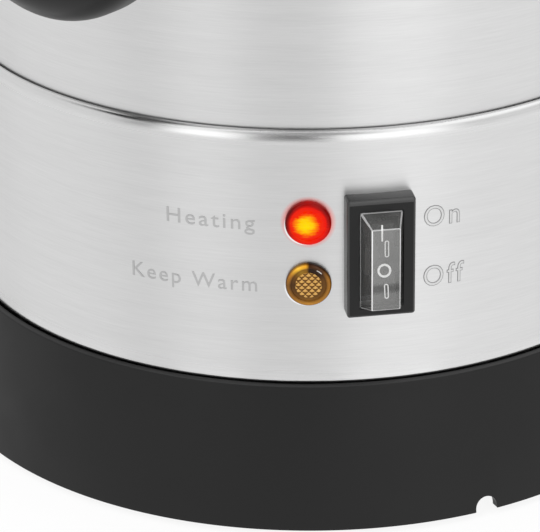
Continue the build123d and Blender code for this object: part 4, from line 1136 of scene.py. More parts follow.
class WARMER_OT_lamps(bpy.types.Operator):
    """Lit heating lamp and unlit keep warm lamp"""

    bl_idname = "warmer.lamps"
    bl_label = "Lamps"

    def execute(self, context):
        panel = context.scene.warmer_panel
        tints = context.scene.warmer_finish
        radius = context.scene.warmer_walls.band_radius
        place = wall_place(panel.lamp_azimuth, radius, panel.heating_height)
        lit = self.lit(panel, place)
        self.rim(panel, "heating", place, radius, lit, "red_lens")
        self.core(panel, "heating", place, [lit], "red_lens")
        place = wall_place(panel.lamp_azimuth, radius, panel.warm_height)
        self.rim(panel, "keep_warm", place, radius, self.unlit(panel, place), "amber_lens")
        # Painted light: lit upper facets, shaded lower facets and painted shade in the gaps
        facets = [
            facet_finish("amber_facet_light", tints.amber_light, 0.25),
            facet_finish("amber_facet_shade", tints.amber_shade, 0.2),
            facet_finish("amber_facet_gap_shade", tints.amber_gap_shade, 0.2),
        ]
        self.core(panel, "keep_warm", place, facets, "amber_lens")
        return {"FINISHED"}

    def lit(self, panel, place):
        """Red lens with a yellow middle, a little to the left, and a dark rim."""
        middle = place @ Vector((-0.0006, -0.0004, panel.lens_proud))
        top = place @ Matrix.Translation((0.0, 0.0001, panel.lens_proud))
        stops = [
            (0.0, (0.97, 0.72, 0.0)),
            (0.25, (0.96, 0.6, 0.0)),
            (0.42, (0.93, 0.24, 0.0)),
            (0.58, (0.84, 0.022, 0.0)),
            (0.85, (0.78, 0.006, 0.0)),
            (1.0, (0.55, 0.004, 0.002)),
        ]
        rim_stops = grey_stops([(0.0, 0.0), (0.76, 0.0), (0.85, 0.65), (0.93, 1.0)])
        clock_stops = grey_stops(
            [
                (0.0, 0.0),
                (0.12, 0.2),
                (0.22, 0.92),
                (0.36, 0.92),
                (0.5, 0.5),
                (0.64, 0.8),
                (0.75, 0.65),
                (0.85, 0.1),
                (1.0, 0.0),
            ]
        )
        reach = panel.lens_radius
        return lit_finish("red_lens", middle, top, reach, stops, rim_stops, clock_stops)

    def unlit(self, panel, place):
        """Amber ring with painted light: a gold highlight at the upper left, dark painted shade at the
        upper right, brown below.
        """
        top = place @ Matrix.Translation((0.0, 0.0, panel.lens_proud))
        # Painted highlight and shade round the ring
        clock_stops = [
            (0.0, (0.56, 0.25, 0.03)),
            (0.14, (0.34, 0.14, 0.016)),
            (0.25, (0.2, 0.085, 0.014)),
            (0.34, (0.42, 0.17, 0.014)),
            (0.42, (0.9, 0.5, 0.04)),
            (0.48, (0.74, 0.34, 0.02)),
            (0.505, (0.05, 0.016, 0.003)),
            (0.62, (0.07, 0.025, 0.004)),
            (0.7, (0.34, 0.14, 0.014)),
            (0.82, (0.38, 0.16, 0.016)),
            (0.92, (0.44, 0.19, 0.02)),
            (1.0, (0.56, 0.25, 0.03)),
        ]
        # Painted shade by radius, with a painted highlight band near the outer edge
        rim_stops = [
            (0.0, (0.5, 0.5, 0.5)),
            (0.62, (0.34, 0.34, 0.38)),
            (0.78, (0.4, 0.38, 0.38)),
            (0.86, (0.9, 0.9, 0.9)),
            (0.93, (1.0, 1.0, 1.0)),
            (0.975, (0.5, 0.46, 0.42)),
            (1.0, (0.2, 0.18, 0.16)),
        ]
        reach = panel.lens_radius
        glint_radius = 0.76 * reach
        glints = []
        for turn in (math.radians(48), math.radians(54), math.radians(60)):
            across, up = glint_radius * math.cos(turn), glint_radius * math.sin(turn)
            glints.append(place @ Vector((across, up, panel.lens_proud)))
        return ring_finish("amber_lens", top, reach, clock_stops, rim_stops, glints)

    def rim(self, panel, name, place, radius, material, slot):
        """Rounded rim and sunk floor of a lens."""
        rim_width, rim_depth, back = 0.0015, 0.0005, -0.0008
        rim_round, inner_round = 0.0009, 0.0003
        outer, inner = panel.lens_radius, panel.lens_radius - rim_width
        top, recess = panel.lens_proud, panel.lens_proud - rim_depth
        lens = turned(
            name + "_lens_rim",
            [
                (0.0, back),
                (outer, back),
                (outer, top, rim_round),
                (inner, top, inner_round),
                (inner, recess),
                (0.0, recess),
            ],
            closed=False,
            place=place,
        )
        seat_on_wall(lens, radius)
        finish_piece(lens, "body", slot, name + "_lamp_lens", [material])

    def core(self, panel, name, place, materials, slot):
        """Disc of square pyramids, turned by an eighth: painted lit upper facets, painted shaded lower
        facets and gaps in painted shade.
        """
        count = 8
        sunk, thickness, cut_depth = 0.0003, 0.0006, 0.01
        bm = bmesh.new()
        half = count * panel.facet / 2
        bmesh.ops.create_grid(bm, x_segments=count, y_segments=count, size=half)
        squares = bm.faces[:]
        bmesh.ops.inset_individual(bm, faces=squares, thickness=panel.facet_gap)
        pyramids = bmesh.ops.poke(bm, faces=squares, offset=panel.facet / 3)["faces"]
        eighth = Matrix.Rotation(math.pi / 4, 4, "Z")
        bmesh.ops.transform(bm, matrix=eighth, verts=bm.verts[:])
        bm.normal_update()
        light, shade, gap_shade = 0, min(1, len(materials) - 1), len(materials) - 1
        paint_faces(bm.faces, gap_shade)
        for face in pyramids:
            face.material_index = light if face.normal.y > 0.0 else shade
        edges = [edge for edge in bm.edges if edge.is_boundary]
        under = pushed(bm, edges, (0.0, 0.0, -thickness))
        bmesh.ops.edgeloop_fill(bm, edges=under)
        lift = Matrix.Translation((0.0, 0.0, panel.lens_proud - sunk))
        core = link_mesh(name + "_lens_core", bm, place @ lift)
        for material in materials:
            core.data.materials.append(material)
        cut_hole(core, panel.core_radius, cut_depth, place, operation="INTERSECT")
        finish_piece(core, "body", slot, materials=[], crease=10.0)


class WARMER_OT_switch(bpy.types.Operator):
    """Switch frame, clear boot and the marks on the rocker"""

    bl_idname = "warmer.switch"
    bl_label = "Switch"

    def execute(self, context):
        panel = context.scene.warmer_panel
        radius = context.scene.warmer_walls.band_radius
        place = wall_place(panel.switch_azimuth, radius, panel.switch_height)
        self.frame(context, panel, place, radius)
        self.boot(context, panel, place)
        self.marks(context, panel, place)
        return {"FINISHED"}

    def frame(self, context, panel, place, radius):
        """Raised frame with a polished round rim, deeper at its top, and a window."""
        width, height, rise = panel.frame_width, panel.frame_height, panel.frame_rise
        top, bend, brow = panel.frame_proud, panel.frame_round, panel.frame_brow
        corner = 0.0008
        step = 0.00025
        fit = 0.0003
        back = -0.002
        floor = 0.002
        sections = [(width, height, corner, back, rise)]
        for turn in quarter_turns(CORNER_STEPS):
            inwards = 1 - math.cos(turn)
            level = top - bend + bend * math.sin(turn)
            wide = width - 2 * bend * inwards
            high = height - (bend + brow) * inwards
            sink = (brow - bend) / 2 * inwards
            sections.append((wide, high, corner - bend * inwards, level, rise - sink))
        window_width, window_height = panel.boot_width + fit, panel.boot_height + fit
        sections += [
            (window_width + step, window_height + step, corner, top),
            (window_width, window_height, corner, top - step),
            (window_width, window_height, corner, floor),
            sections[0],
        ]
        bm = bmesh.new()
        for faces in stacked(bm, sections)[: CORNER_STEPS + 1]:
            paint_faces(faces, 1)
        frame_piece = link_mesh("switch_frame_skin", bm, place)
        black = context.scene.warmer_finish.gloss_black
        polished = plastic_finish("switch_rim", black, 0.25, 2600.0, 0.03, 0.8)
        for material in (finish_of("switch_black"), polished):
            frame_piece.data.materials.append(material)
        seat_on_wall(frame_piece, radius)
        finish_piece(frame_piece, "body", "switch_black", "switch_frame", [])

    def boot(self, context, panel, place):
        """Thin clear cover with fine painted highlights on its edges."""
        width, height = panel.boot_width, panel.boot_height
        face_width, face_height = panel.boot_face_width, panel.boot_face_height
        floor, foot = 0.002, panel.frame_proud
        top = foot + panel.boot_proud
        soft = 0.00028
        corner = 0.0005
        face_corner = 0.0003
        inner_corner = 0.0004
        wall = 2 * panel.boot_wall
        mouth = (width - wall, height - wall, corner)
        bm = bmesh.new()
        steps = stacked(
            bm,
            [
                (*mouth, floor),
                (width, height, corner, floor),
                (width, height, corner, foot - soft),
                (width - soft, height - soft, corner, foot + soft),
                (face_width, face_height, face_corner, top - soft),
                (face_width - soft * 2, face_height - soft * 2, face_corner, top),
            ],
            last_cap=True,
        )
        inner = stacked(
            bm,
            [
                (*mouth, floor),
                (*mouth, foot),
                (face_width - wall, face_height - wall, inner_corner, top - wall / 2),
            ],
            last_cap=True,
        )
        # The edge and faint edge faces carry painted highlights in white
        side, face, edge, faint_highlight, hidden = range(5)
        for faces, index in zip(steps, (hidden, hidden, faint_highlight, side, edge, face)):
            paint_faces(faces, index)
        for faces in inner:
            paint_faces(faces, hidden)
        bm.normal_update()
        slopes, rim = steps[3], steps[4]
        paint_faces([item for item in slopes if abs(item.normal.x * item.normal.y) > 0.1], faint_highlight)
        paint_faces([item for item in rim if item.normal.y > 0.3], faint_highlight)
        boot = link_mesh("switch_boot_skin", bm, place)
        clear = context.scene.warmer_finish.clear
        thin_band = (panel.switch_height - 0.0054, 0.0012)
        # The face's film, milkier than the sides', is partly the silicone's own haze and partly
        # painted reflection; the white films are painted highlights
        materials = [
            boot_finish("boot_side", clear, 0.09),
            boot_finish("boot_face", clear, 0.33, 0.25, thin_band),
            boot_finish("boot_edge_highlight", WHITE, 0.95),
            boot_finish("boot_faint_edge_highlight", WHITE, 0.35),
            boot_finish("boot_inside", clear, 0.04),
        ]
        finish_piece(boot, "body", "clear_silicone", "switch_boot", materials)

    def marks(self, context, panel, place):
        """White bar, ring and two outlined bars on the rocker."""
        tint = context.scene.warmer_finish.mark
        ink = plastic_finish("rocker_marks", tint, 0.45, 2500.0, 0.05)
        lift = Matrix.Translation((0.0, 0.0, panel.rocker_pivot))
        tilt = Matrix.Rotation(-panel.rocker_tilt, 4, "X")
        face = place @ lift @ tilt @ Matrix.Translation((0.0, 0.0, panel.rocker_face))
        dip, half = 0.0009, 0.011
        slope = math.atan2(dip, half)
        upper = face @ Matrix.Rotation(slope, 4, "X")
        lower = face @ Matrix.Rotation(-slope, 4, "X")
        line = 0.00027
        self.bar("mark_on_bar", upper, -0.00035, 0.0084, 0.00047, 0.0048, 0.0, ink)
        self.bar("mark_upper_slot", upper, 0.0009, 0.0038, 0.0012, 0.0048, line, ink)
        self.ring("mark_off_ring", lower, 0.0001, -0.0023, ink)
        self.bar("mark_lower_slot", lower, 0.00045, -0.008, 0.0012, 0.0041, line, ink)

    def bar(self, name, plane, x, y, width, height, line, ink):
        """Rounded bar, or its outline if a line width is given."""
        corner = 0.48
        bm = bmesh.new()
        outer = rounded_loop(bm, width, height, width * corner, INK)
        if line > 0.0:
            inner_width, inner_height = width - 2 * line, height - 2 * line
            inner = rounded_loop(bm, inner_width, inner_height, inner_width * corner, INK)
            bmesh.ops.bridge_loops(bm, edges=outer + inner)
        else:
            bmesh.ops.edgeloop_fill(bm, edges=outer)
        self.settle(name, bm, plane @ Matrix.Translation((x, y, 0.0)), ink)

    def ring(self, name, plane, x, y, ink):
        """Round ring."""
        outer, inner, segments = 0.0019, 0.0013, 48
        level = Matrix.Translation((0.0, 0.0, INK))
        bm = bmesh.new()
        loops = []
        for radius in (outer, inner):
            loops += circle_edges(bm, radius, segments, level)
        bmesh.ops.bridge_loops(bm, edges=loops)
        self.settle(name, bm, plane @ Matrix.Translation((x, y, 0.0)), ink)

    def settle(self, name, bm, place, ink):
        """Gives a flat mark its thickness and place."""
        thicken(bm, bm.faces[:], (0.0, 0.0, INK))
        finish_piece(link_mesh(name, bm, place), "rocker", "rocker_black", materials=[ink])


class WARMER_OT_tap(bpy.types.Operator):
    """Domed flange, barrel, chamber, spout, cap and spring of the tap"""

    bl_idname = "warmer.tap"
    bl_label = "Tap"

    def execute(self, context):
        size = context.scene.warmer_tap
        wall = context.scene.warmer_walls.jacket_radius
        place = wall_place(0.0, wall, size.axis_height)
        upright = Matrix.Translation((0.0, -wall - size.reach, 0.0))
        self.flange(size, place, wall)
        self.body(size, place, upright)
        self.spring(size, upright)
        self.spout(size, upright)
        self.bonnet(size, upright)
        return {"FINISHED"}

    def flange(self, size, place, wall):
        """Hollow dome fitted to the round jacket."""
        hole_gap, steps = 0.00015, 192
        hole = size.barrel_radius + hole_gap
        back = -size.flange_radius / 3
        depth, bend = size.flange_depth, size.flange_round
        inner = size.flange_radius - size.flange_wall
        flange = turned(
            "tap_escutcheon_skin",
            [
                (hole, depth, EDGE_ROUND),
                (size.flange_radius, depth, bend),
                (size.flange_radius, back),
                (inner, back),
                (inner, depth - size.flange_wall, bend - size.flange_wall),
                (hole, depth - size.flange_wall),
            ],
            steps,
            place=place,
        )
        seat_on_wall(flange, wall)
        flange.visible_glossy = False
        finish_piece(flange, "body", "tap_black", "tap_escutcheon")

    def body(self, size, place, upright):
        """Barrel and chamber in one casting."""
        way, shank, shank_end = 0.006, 0.008, -0.0166
        shoulder, shoulder_back, shoulder_front = 0.016, 0.0025, 0.0065
        bore, cut_below, cut_above = 0.0125, 0.0001, 0.001
        socket = size.spigot_radius + FIT
        barrel = turned(
            "tap_body_skin",
            [
                (way, shank_end),
                (shank, shank_end, FINE_ROUND),
                (shank, shoulder_back),
                (shoulder, shoulder_back),
                (shoulder, shoulder_front),
                (size.barrel_radius, shoulder_front),
                (size.barrel_radius, size.reach),
                (way, size.reach),
            ],
            place=place,
        )
        chamber = turned(
            "chamber",
            [
                (socket, size.chamber_bottom),
                (size.chamber_radius, size.chamber_bottom, 2 * EDGE_ROUND),
                (size.chamber_radius, size.chamber_top, EDGE_ROUND),
                (bore, size.chamber_top),
                (bore, size.seat_height),
                (socket, size.seat_height),
            ],
            place=upright,
        )
        combine(barrel, chamber, "UNION")
        low, high = size.seat_height + cut_below, size.chamber_top + cut_above
        middle = Matrix.Translation((0.0, 0.0, (low + high) / 2))
        cut_hole(barrel, size.thread_radius, high - low, upright @ middle)
        finish_piece(barrel, "body", "tap_black", "tap_body")

    def spout(self, size, upright):
        """Tapered spout with its spigot in the chamber."""
        spout = turned(
            "tap_spout_skin",
            [
                (size.spout_bore, size.spout_tip, EDGE_ROUND),
                (size.spout_tip_radius, size.spout_tip, 2 * FINE_ROUND),
                (size.spout_top_radius, size.chamber_bottom, FINE_ROUND),
                (size.spigot_radius, size.chamber_bottom),
                (size.spigot_radius, size.seat_height),
                (size.spout_bore, size.seat_height),
            ],
            place=upright,
        )
        spout.visible_glossy = False
        finish_piece(spout, "body", "tap_black", "tap_spout")

    def bonnet(self, size, upright):
        """Screwed cap with the stem's hole."""
        stem_hole, thread_depth, cap_round = 0.00305, 0.008, 0.002
        thread_end = size.chamber_top - thread_depth
        bonnet = turned(
            "tap_bonnet_skin",
            [
                (stem_hole, size.bonnet_top, FINE_ROUND),
                (size.bonnet_radius, size.bonnet_top, cap_round),
                (size.bonnet_radius, size.chamber_top, EDGE_ROUND),
                (size.thread_radius, size.chamber_top),
                (size.thread_radius, thread_end),
                (stem_hole, thread_end),
            ],
            place=upright,
        )
        finish_piece(bonnet, "body", "tap_black", "tap_bonnet")

    def spring(self, size, upright):
        """Closing spring on the stem's body."""
        low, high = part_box("tap_spring")
        tall = high.z - low.z
        wire = size.spring_wire / 2
        turns, steps, segments = 6, 32, 12
        start = Matrix.Translation(((high.x - low.x) / 2 - wire, 0.0, low.z + wire))
        start = start @ Matrix.Rotation(math.pi / 2, 4, "X")
        rise = (tall - size.spring_wire) / (turns * steps)
        bm = bmesh.new()
        circle_edges(bm, wire, segments, start, filled=True)
        section = bm.verts[:] + bm.edges[:] + bm.faces[:]
        spun(bm, section, turns * steps, turns * FULL_TURN, rise=rise)
        spring = link_mesh("tap_spring_coil", bm, upright)
        finish_piece(spring, "stem", "stem_steel", "tap_spring")
        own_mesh(spring)


class WARMER_OT_handles(bpy.types.Operator):
    """Two bow handles on the jacket"""

    bl_idname = "warmer.handles"
    bl_label = "Handles"

    def execute(self, context):
        size = context.scene.warmer_fittings
        wall = context.scene.warmer_walls.jacket_radius
        for name, azimuth in (("right", math.pi / 2), ("left", 1.5 * math.pi)):
            self.handle(size, wall, name, azimuth)
        return {"FINISHED"}

    def handle(self, size, wall, name, azimuth):
        """Bent bar between two pads."""
        half = size.handle_half
        outer = wall + size.handle_stand
        sunk, segments, pad_round = 0.003, 40, 0.0025
        post = Vector((-math.sin(half), 0.0, math.cos(half)))
        inwards = Vector((math.cos(half), 0.0, math.sin(half)))
        mirrored = Vector((-1.0, 1.0, 1.0))
        sweep = math.pi / 2 + half
        tangent = size.handle_bend * math.tan(sweep / 2)
        start = post * (wall - sunk)
        bend_start = post * (outer - tangent)
        centre = bend_start + inwards * size.handle_bend
        run = 2 * (outer * math.sin(half) - tangent)
        facing = post.to_track_quat("Z", "Y").to_matrix().to_4x4()
        bm = bmesh.new()
        section = Matrix.Translation(start) @ facing
        loop = circle_edges(bm, size.handle_bar, segments, section, filled=True)
        loop = pushed(bm, loop, bend_start - start)
        loop = self.bend(bm, loop, centre, sweep)
        loop = pushed(bm, loop, Vector((run, 0.0, 0.0)))
        loop = self.bend(bm, loop, centre * mirrored, sweep)
        loop = pushed(bm, loop, (start - bend_start) * mirrored)
        bmesh.ops.edgeloop_fill(bm, edges=loop)
        bar = link_mesh("handle_" + name + "_skin", bm, wall_place(azimuth, 0.0, size.handle_height))
        pad_back = -size.pad_radius / 2
        for side in (-half, half):
            pad = turned(
                "pad",
                [
                    (0.0, size.pad_thickness),
                    (size.pad_radius, size.pad_thickness, pad_round),
                    (size.pad_radius, pad_back),
                    (0.0, pad_back),
                ],
                closed=False,
                place=wall_place(azimuth + side, wall, size.handle_height),
            )
            combine(bar, pad, "UNION")
        seat_on_wall(bar, wall)
        finish_piece(bar, "body", "handle_black", "handle_" + name)

    def bend(self, bm, loop, centre, sweep):
        """Spins a loop round a bend and gives the new loop."""
        steps, level_axis = 20, (0.0, 1.0, 0.0)
        verts = list({vert for edge in loop for vert in edge.verts})
        made = spun(bm, verts + loop, steps, sweep, centre, level_axis)
        return only(made, bmesh.types.BMEdge)


class WARMER_OT_inlet(bpy.types.Operator):
    """Power inlet at the back of the band, with its screws"""

    bl_idname = "warmer.inlet"
    bl_label = "Power inlet"

    def execute(self, context):
        size = context.scene.warmer_fittings
        radius = context.scene.warmer_walls.band_radius
        place = wall_place(math.pi, radius, size.inlet_height)
        mouth = (size.mouth_width, size.mouth_tall, 0.003)
        self.flange(size, place, radius, mouth)
        self.well(size, place, mouth)
        self.screws(size, place)
        return {"FINISHED"}

    def flange(self, size, place, radius, mouth):
        """Rounded plate with the mouth through it."""
        width, height, top = size.inlet_width, size.inlet_tall, size.inlet_proud
        corner, back = 0.005, -0.002
        eased = FINE_ROUND
        mouth_width, mouth_tall, mouth_corner = mouth
        bm = bmesh.new()
        stacked(
            bm,
            [
                (width, height, corner, back),
                (width, height, corner, top - 1.5 * eased),
                (width - eased, height - eased, corner - eased / 2, top - eased / 2),
                (width - 3 * eased, height - 3 * eased, corner - 1.5 * eased, top),
                (mouth_width + 2 * eased, mouth_tall + 2 * eased, mouth_corner + eased, top),
                (*mouth, top - eased),
                (*mouth, back),
                (width, height, corner, back),
            ],
        )
        flange = link_mesh("power_inlet_flange", bm, place)
        seat_on_wall(flange, radius)
        screw_hole, hole_depth, steps = 0.0017, 0.02, 32
        for side in (-1, 1):
            hole = place @ Matrix.Translation((0.0, side * size.screw_spacing / 2, 0.0))
            cut_hole(flange, screw_hole, hole_depth, hole, steps)
        finish_piece(flange, "body", "inlet_black", "power_inlet")

    def well(self, size, place, mouth):
        """Deep mouth behind the plate."""
        floor = size.inlet_proud - size.mouth_depth
        outside = (0.0198, 0.0273, 0.001)
        floor_depth = 0.0086
        bm = bmesh.new()
        stacked(
            bm,
            [(*outside, floor - floor_depth), (*outside, 0.0), (*mouth, 0.0), (*mouth, floor)],
            first_cap=True,
            last_cap=True,
        )
        finish_piece(link_mesh("power_inlet_well", bm, place), "body", "inlet_black")

    def screws(self, size, place):
        """Two round headed screws with crossed slots."""
        head, head_top, head_round = 0.0029, 0.0016, 0.0011
        shank, shank_end = 0.0015, -0.0064
        slot_long = 0.0032
        slot_wide = 0.0006
        slot_deep = 0.0016
        slot_level = 0.0014
        steps = 48
        for name, side, node in (("lower", -1, None), ("upper", 1, "inlet_screws")):
            seat = place @ Matrix.Translation((0.0, side * size.screw_spacing / 2, size.inlet_proud))
            screw = turned(
                "inlet_screw_" + name,
                [
                    (0.0, head_top),
                    (head, head_top, head_round),
                    (head, 0.0),
                    (shank, 0.0),
                    (shank, shank_end),
                    (0.0, shank_end),
                ],
                steps,
                False,
                seat,
            )
            level = seat @ Matrix.Translation((0.0, 0.0, slot_level))
            for turn in (math.radians(20), math.radians(110)):
                cross = level @ Matrix.Rotation(turn, 4, "Z")
                cut_window(screw, slot_long, slot_wide, slot_deep, cross)
            finish_piece(screw, "body", "zinc_steel", node)


class WARMER_OT_lid(bpy.types.Operator):
    """Domed lid with its steam holes, collar and knob"""

    bl_idname = "warmer.lid"
    bl_label = "Lid"

    def execute(self, context):
        size = context.scene.warmer_fittings
        dome_radius = size.lid_radius - size.lid_brim
        sphere = (dome_radius**2 + size.lid_rise**2) / (2 * size.lid_rise)
        brim_top = size.rim_top + size.lid_sheet
        dome_top = brim_top + size.lid_rise
        self.shell(size, dome_radius, sphere, brim_top, dome_top)
        self.knob(size, sphere, dome_top)
        return {"FINISHED"}

    def crown(self, sphere, top, radius):
        """Point of the dome's outline at a radius."""
        return radius, top - sphere + math.sqrt(sphere**2 - radius**2)

    def shell(self, size, dome_radius, sphere, brim_top, dome_top):
        """Spun steel lid."""
        steps, around = 24, 192
        vent = 0.0015
        vent_depth = 0.04
        vent_spacing = 0.008
        vent_back = 0.045
        vent_steps = 32
        radii = [dome_radius * i / steps for i in range(steps + 1)]
        under = dome_top - size.lid_sheet
        outline = [
            *(self.crown(sphere, dome_top, radius) for radius in radii),
            (size.lid_radius, brim_top, FINE_ROUND),
            (size.lid_radius, size.rim_top, FINE_ROUND),
            *(self.crown(sphere, under, radius) for radius in reversed(radii)),
        ]
        lid = turned("lid_shell_skin", outline, around, False)
        for i in (-1, 0, 1):
            hole = Matrix.Translation((i * vent_spacing, vent_back, dome_top))
            cut_hole(lid, vent, vent_depth, hole, vent_steps)
        finish_piece(lid, "lid", "brushed_lid", "lid_shell")

    def knob(self, size, sphere, dome_top):
        """Heat guard and knob."""
        collar_top = dome_top + size.collar_thickness
        radius = size.knob_radius
        steps, collar_round = 8, 0.0008
        outline = [(0.0, collar_top), (radius, collar_top, collar_round)]
        for i in reversed(range(steps + 1)):
            outline.append(self.crown(sphere, dome_top, radius * i / steps))
        collar = turned("lid_knob_collar_skin", outline, closed=False)
        finish_piece(collar, "lid", "handle_black", "lid_knob_collar")
        neck_round = 0.0015
        head_round = 0.006
        dish_round = 0.0008
        floor_round = 0.0003
        dish, dish_floor, dish_depth = 0.012, 0.0115, 0.0005
        top = collar_top + size.knob_height
        under = top - size.knob_head
        knob = turned(
            "lid_knob_skin",
            [
                (0.0, collar_top),
                (size.knob_neck, collar_top),
                (size.knob_neck, under, neck_round),
                (radius, under, head_round),
                (radius, top, head_round),
                (dish, top, dish_round),
                (dish_floor, top - dish_depth, floor_round),
                (0.0, top - dish_depth),
            ],
            closed=False,
        )
        finish_piece(knob, "lid", "handle_black", "lid_knob")


class WARMER_OT_inner_parts(bpy.types.Operator):
    """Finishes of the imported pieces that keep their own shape"""

    bl_idname = "warmer.inner_parts"
    bl_label = "Inner parts"

    def execute(self, context):
        rows = frame["record"]["subparts"]
        wanted = {row["node"]: row["material_slot"] for row in rows}
        for name, node in frame["nodes"].items():
            if node.hide_render:
                continue
            finish = finish_of(wanted[name])
            for place in node.material_slots:
                place.material = finish
        return {"FINISHED"}


class WARMER_OT_stage(bpy.types.Operator):
    """Pale floor, soft lights, white surroundings and the camera"""

    bl_idname = "warmer.stage"
    bl_label = "Stage"

    def execute(self, context):
        setting = context.scene.warmer_stage
        context.scene.view_settings.view_transform = "Standard"
        self.floor(setting)
        self.world(context, setting)
        self.lights(context, setting)
        self.camera(context, setting)
        return {"FINISHED"}

    def panels(self, tree, towards, azimuth, base, rows):
        """Socket: a base brightness and soft edged panels round the object."""
        total = base
        for around, half, soft, gain in rows:
            middle = azimuth + math.radians(around)
            outwards = (math.sin(middle), -math.cos(middle), 0.0)
            facing = vector_math(tree, "DOT_PRODUCT", towards, outwards)["Value"]
            edges = [math.cos(math.radians(half + soft)), math.cos(math.radians(half - soft))]
            panel = ranged(tree, facing, 0.0, gain, *edges, interpolation_type="SMOOTHSTEP")
            total = worked_out(tree, "ADD", panel, total)
        return total

    def reflected(self, tree, setting):
        """Socket: the studio in reflections, with panels near the floor, in front and overhead."""
        direction = add_node(tree, "TexCoord", {}).outputs["Generated"]
        flat = vector_math(tree, "MULTIPLY", direction, (1.0, 1.0, 0.0))["Vector"]
        towards = vector_math(tree, "NORMALIZE", flat)["Vector"]
        low = self.panels(tree, towards, setting.azimuth, setting.glow, LOW_PANELS)
        front = self.panels(tree, towards, setting.azimuth, setting.ceiling, FRONT_PANELS)
        top = self.panels(tree, towards, setting.azimuth, setting.ceiling, TOP_PANELS)
        level = height_of(tree, direction)
        ahead = self.upwards(tree, level, low, front, -9.0, 9.0)
        return self.upwards(tree, level, ahead, top, 30.0, 46.0)

    def upwards(self, tree, level, lower, upper, start, end):
        """Socket: one brightness below an elevation and another above it."""
        low, high = math.sin(math.radians(start)), math.sin(math.radians(end))
        rise = ranged(tree, level, 0.0, 1.0, low, high, interpolation_type="SMOOTHSTEP")
        return mixed(tree, rise, lower, upper)

    def seen_directly(self, tree, path):
        """Socket: 1 where the camera sees, also through clear pieces."""
        rays = [path.outputs["Is Camera Ray"], path.outputs["Is Transmission Ray"]]
        return worked_out(tree, "MAXIMUM", *rays)

    def floor(self, setting):
        """White floor that keeps part of the shadow."""
        radius = 12.0
        bm = bmesh.new()
        bmesh.ops.create_circle(bm, cap_ends=True, segments=SMALL_STEPS, radius=radius)
        floor = link_mesh("floor", bm)
        material, tree, shader, _ = new_finish("floor_white")
        matt = {"Base Color": (0.9, 0.9, 0.9, 1.0), "Roughness": 0.9, "Specular IOR Level": 0.0}
        set_inputs(tree, shader, matt)
        path = add_node(tree, "LightPath", {})
        bright = mixed(tree, self.seen_directly(tree, path), setting.floor_light, 1.0)
        light = add_node(tree, "Emission", {"Color": (1.0, 1.0, 1.0, 1.0), "Strength": bright})
        mix = add_node(tree, "MixShader", {"Fac": 1.0 - setting.floor_shadow})
        tree.links.new(shader.outputs["BSDF"], mix.inputs[1])
        tree.links.new(light.outputs["Emission"], mix.inputs[2])
        tree.links.new(mix.outputs["Shader"], tree.nodes["Material Output"].inputs["Surface"])
        floor.data.materials.append(material)
        floor.visible_glossy = False

    def world(self, context, setting):
        """White where it is seen, the studio in reflections, softer where it lights."""
        world = bpy.data.worlds.new("studio")
        world.use_nodes = True
        tree = world.node_tree
        path = add_node(tree, "LightPath", {})
        studio = self.reflected(tree, setting)
        gloss = mixed(tree, path.outputs["Is Glossy Ray"], setting.world_light, studio)
        direct = mixed(tree, self.seen_directly(tree, path), gloss, 1.0)
        light = {"Color": (1.0, 1.0, 1.0, 1.0), "Strength": direct}
        set_inputs(tree, tree.nodes["Background"], light)
        context.scene.world = world

    def lights(self, context, setting):
        """Large soft panels round the object, placed from the camera's azimuth."""
        middle = Vector((0.0, 0.0, 0.15))
        rows = [
            ("key_panel", -38.0, 1.5, 1.5, 1.0, 1.2, 14.0),
            ("right_strip", 26.0, 1.6, 0.75, 0.5, 1.4, 10.0),
            ("top_panel", 0.0, 0.3, 2.0, 1.6, 1.6, 14.0),
        ]
        for name, around, away, height, width, tall, power in rows:
            light = bpy.data.lights.new(name, "AREA")
            light.shape = "RECTANGLE"
            light.size = width
            light.size_y = tall
            light.energy = power
            lamp = bpy.data.objects.new(name, light)
            azimuth = setting.azimuth + math.radians(around)
            spot = Vector((away * math.sin(azimuth), -away * math.cos(azimuth), height))
            turn = (middle - spot).to_track_quat("-Z", "Y").to_matrix().to_4x4()
            lamp.matrix_world = Matrix.Translation(spot) @ turn
            lamp.visible_glossy = False
            context.scene.collection.objects.link(lamp)

    def camera(self, context, setting):
        """Camera at the photograph's angle."""
        data = bpy.data.cameras.new("camera")
        data.lens = setting.lens
        data.sensor_width = 36.0
        data.clip_end = 50.0
        camera = bpy.data.objects.new("camera", data)
        spot = Matrix.Translation((0.0, -setting.distance, setting.height))
        turn = Matrix.Rotation(setting.azimuth, 4, "Z")
        pitch = Matrix.Rotation(math.pi / 2 - setting.pitch, 4, "X")
        yaw = Matrix.Rotation(setting.yaw, 4, "Y")
        roll = Matrix.Rotation(setting.roll, 4, "Z")
        camera.matrix_world = turn @ spot @ pitch @ yaw @ roll
        context.scene.collection.objects.link(camera)
        context.scene.camera = camera


class WARMER_PT_panel(bpy.types.Panel):
    """Sidebar panel with the steps in order"""

    bl_idname = "WARMER_PT_panel"
    bl_label = "Hot drink warmer"
    bl_space_type = "VIEW_3D"
    bl_region_type = "UI"
    bl_category = "Warmer"

    def draw(self, context):
        for step in STEPS:
            self.layout.operator(step.bl_idname)


GROUPS = {
    "warmer_walls": WallSizes,
    "warmer_panel": PanelSizes,
    "warmer_tap": TapSizes,
    "warmer_fittings": FittingSizes,
    "warmer_finish": FinishColours,
    "warmer_stage": StageSettings,
}
STEPS = [
    WARMER_OT_base,
    WARMER_OT_walls,
    WARMER_OT_words,
    WARMER_OT_lamps,
    WARMER_OT_switch,
    WARMER_OT_tap,
    WARMER_OT_handles,
    WARMER_OT_inlet,
    WARMER_OT_lid,
    WARMER_OT_inner_parts,
    WARMER_OT_stage,
]


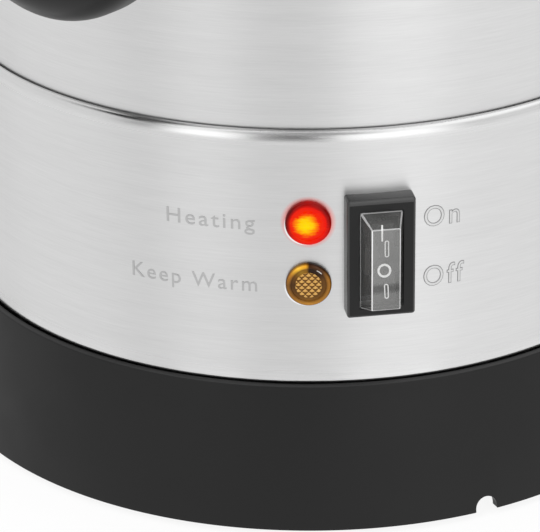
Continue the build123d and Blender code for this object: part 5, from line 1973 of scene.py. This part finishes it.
def register():
    """Registers the classes and the scene's settings."""
    for group in GROUPS.values():
        bpy.utils.register_class(group)
    for step in STEPS:
        bpy.utils.register_class(step)
    bpy.utils.register_class(WARMER_PT_panel)
    for name, group in GROUPS.items():
        setattr(bpy.types.Scene, name, bpy.props.PointerProperty(type=group))


def unregister():
    """Takes the settings and the classes away again."""
    for name in GROUPS:
        delattr(bpy.types.Scene, name)
    bpy.utils.unregister_class(WARMER_PT_panel)
    for step in reversed(STEPS):
        bpy.utils.unregister_class(step)
    for group in GROUPS.values():
        bpy.utils.unregister_class(group)


def main():
    """Runs every step."""
    register()
    bpy.ops.warmer.base()
    bpy.ops.warmer.walls()
    bpy.ops.warmer.words()
    bpy.ops.warmer.lamps()
    bpy.ops.warmer.switch()
    bpy.ops.warmer.tap()
    bpy.ops.warmer.handles()
    bpy.ops.warmer.inlet()
    bpy.ops.warmer.lid()
    bpy.ops.warmer.inner_parts()
    bpy.ops.warmer.stage()


if __name__ == "__main__":
    main()
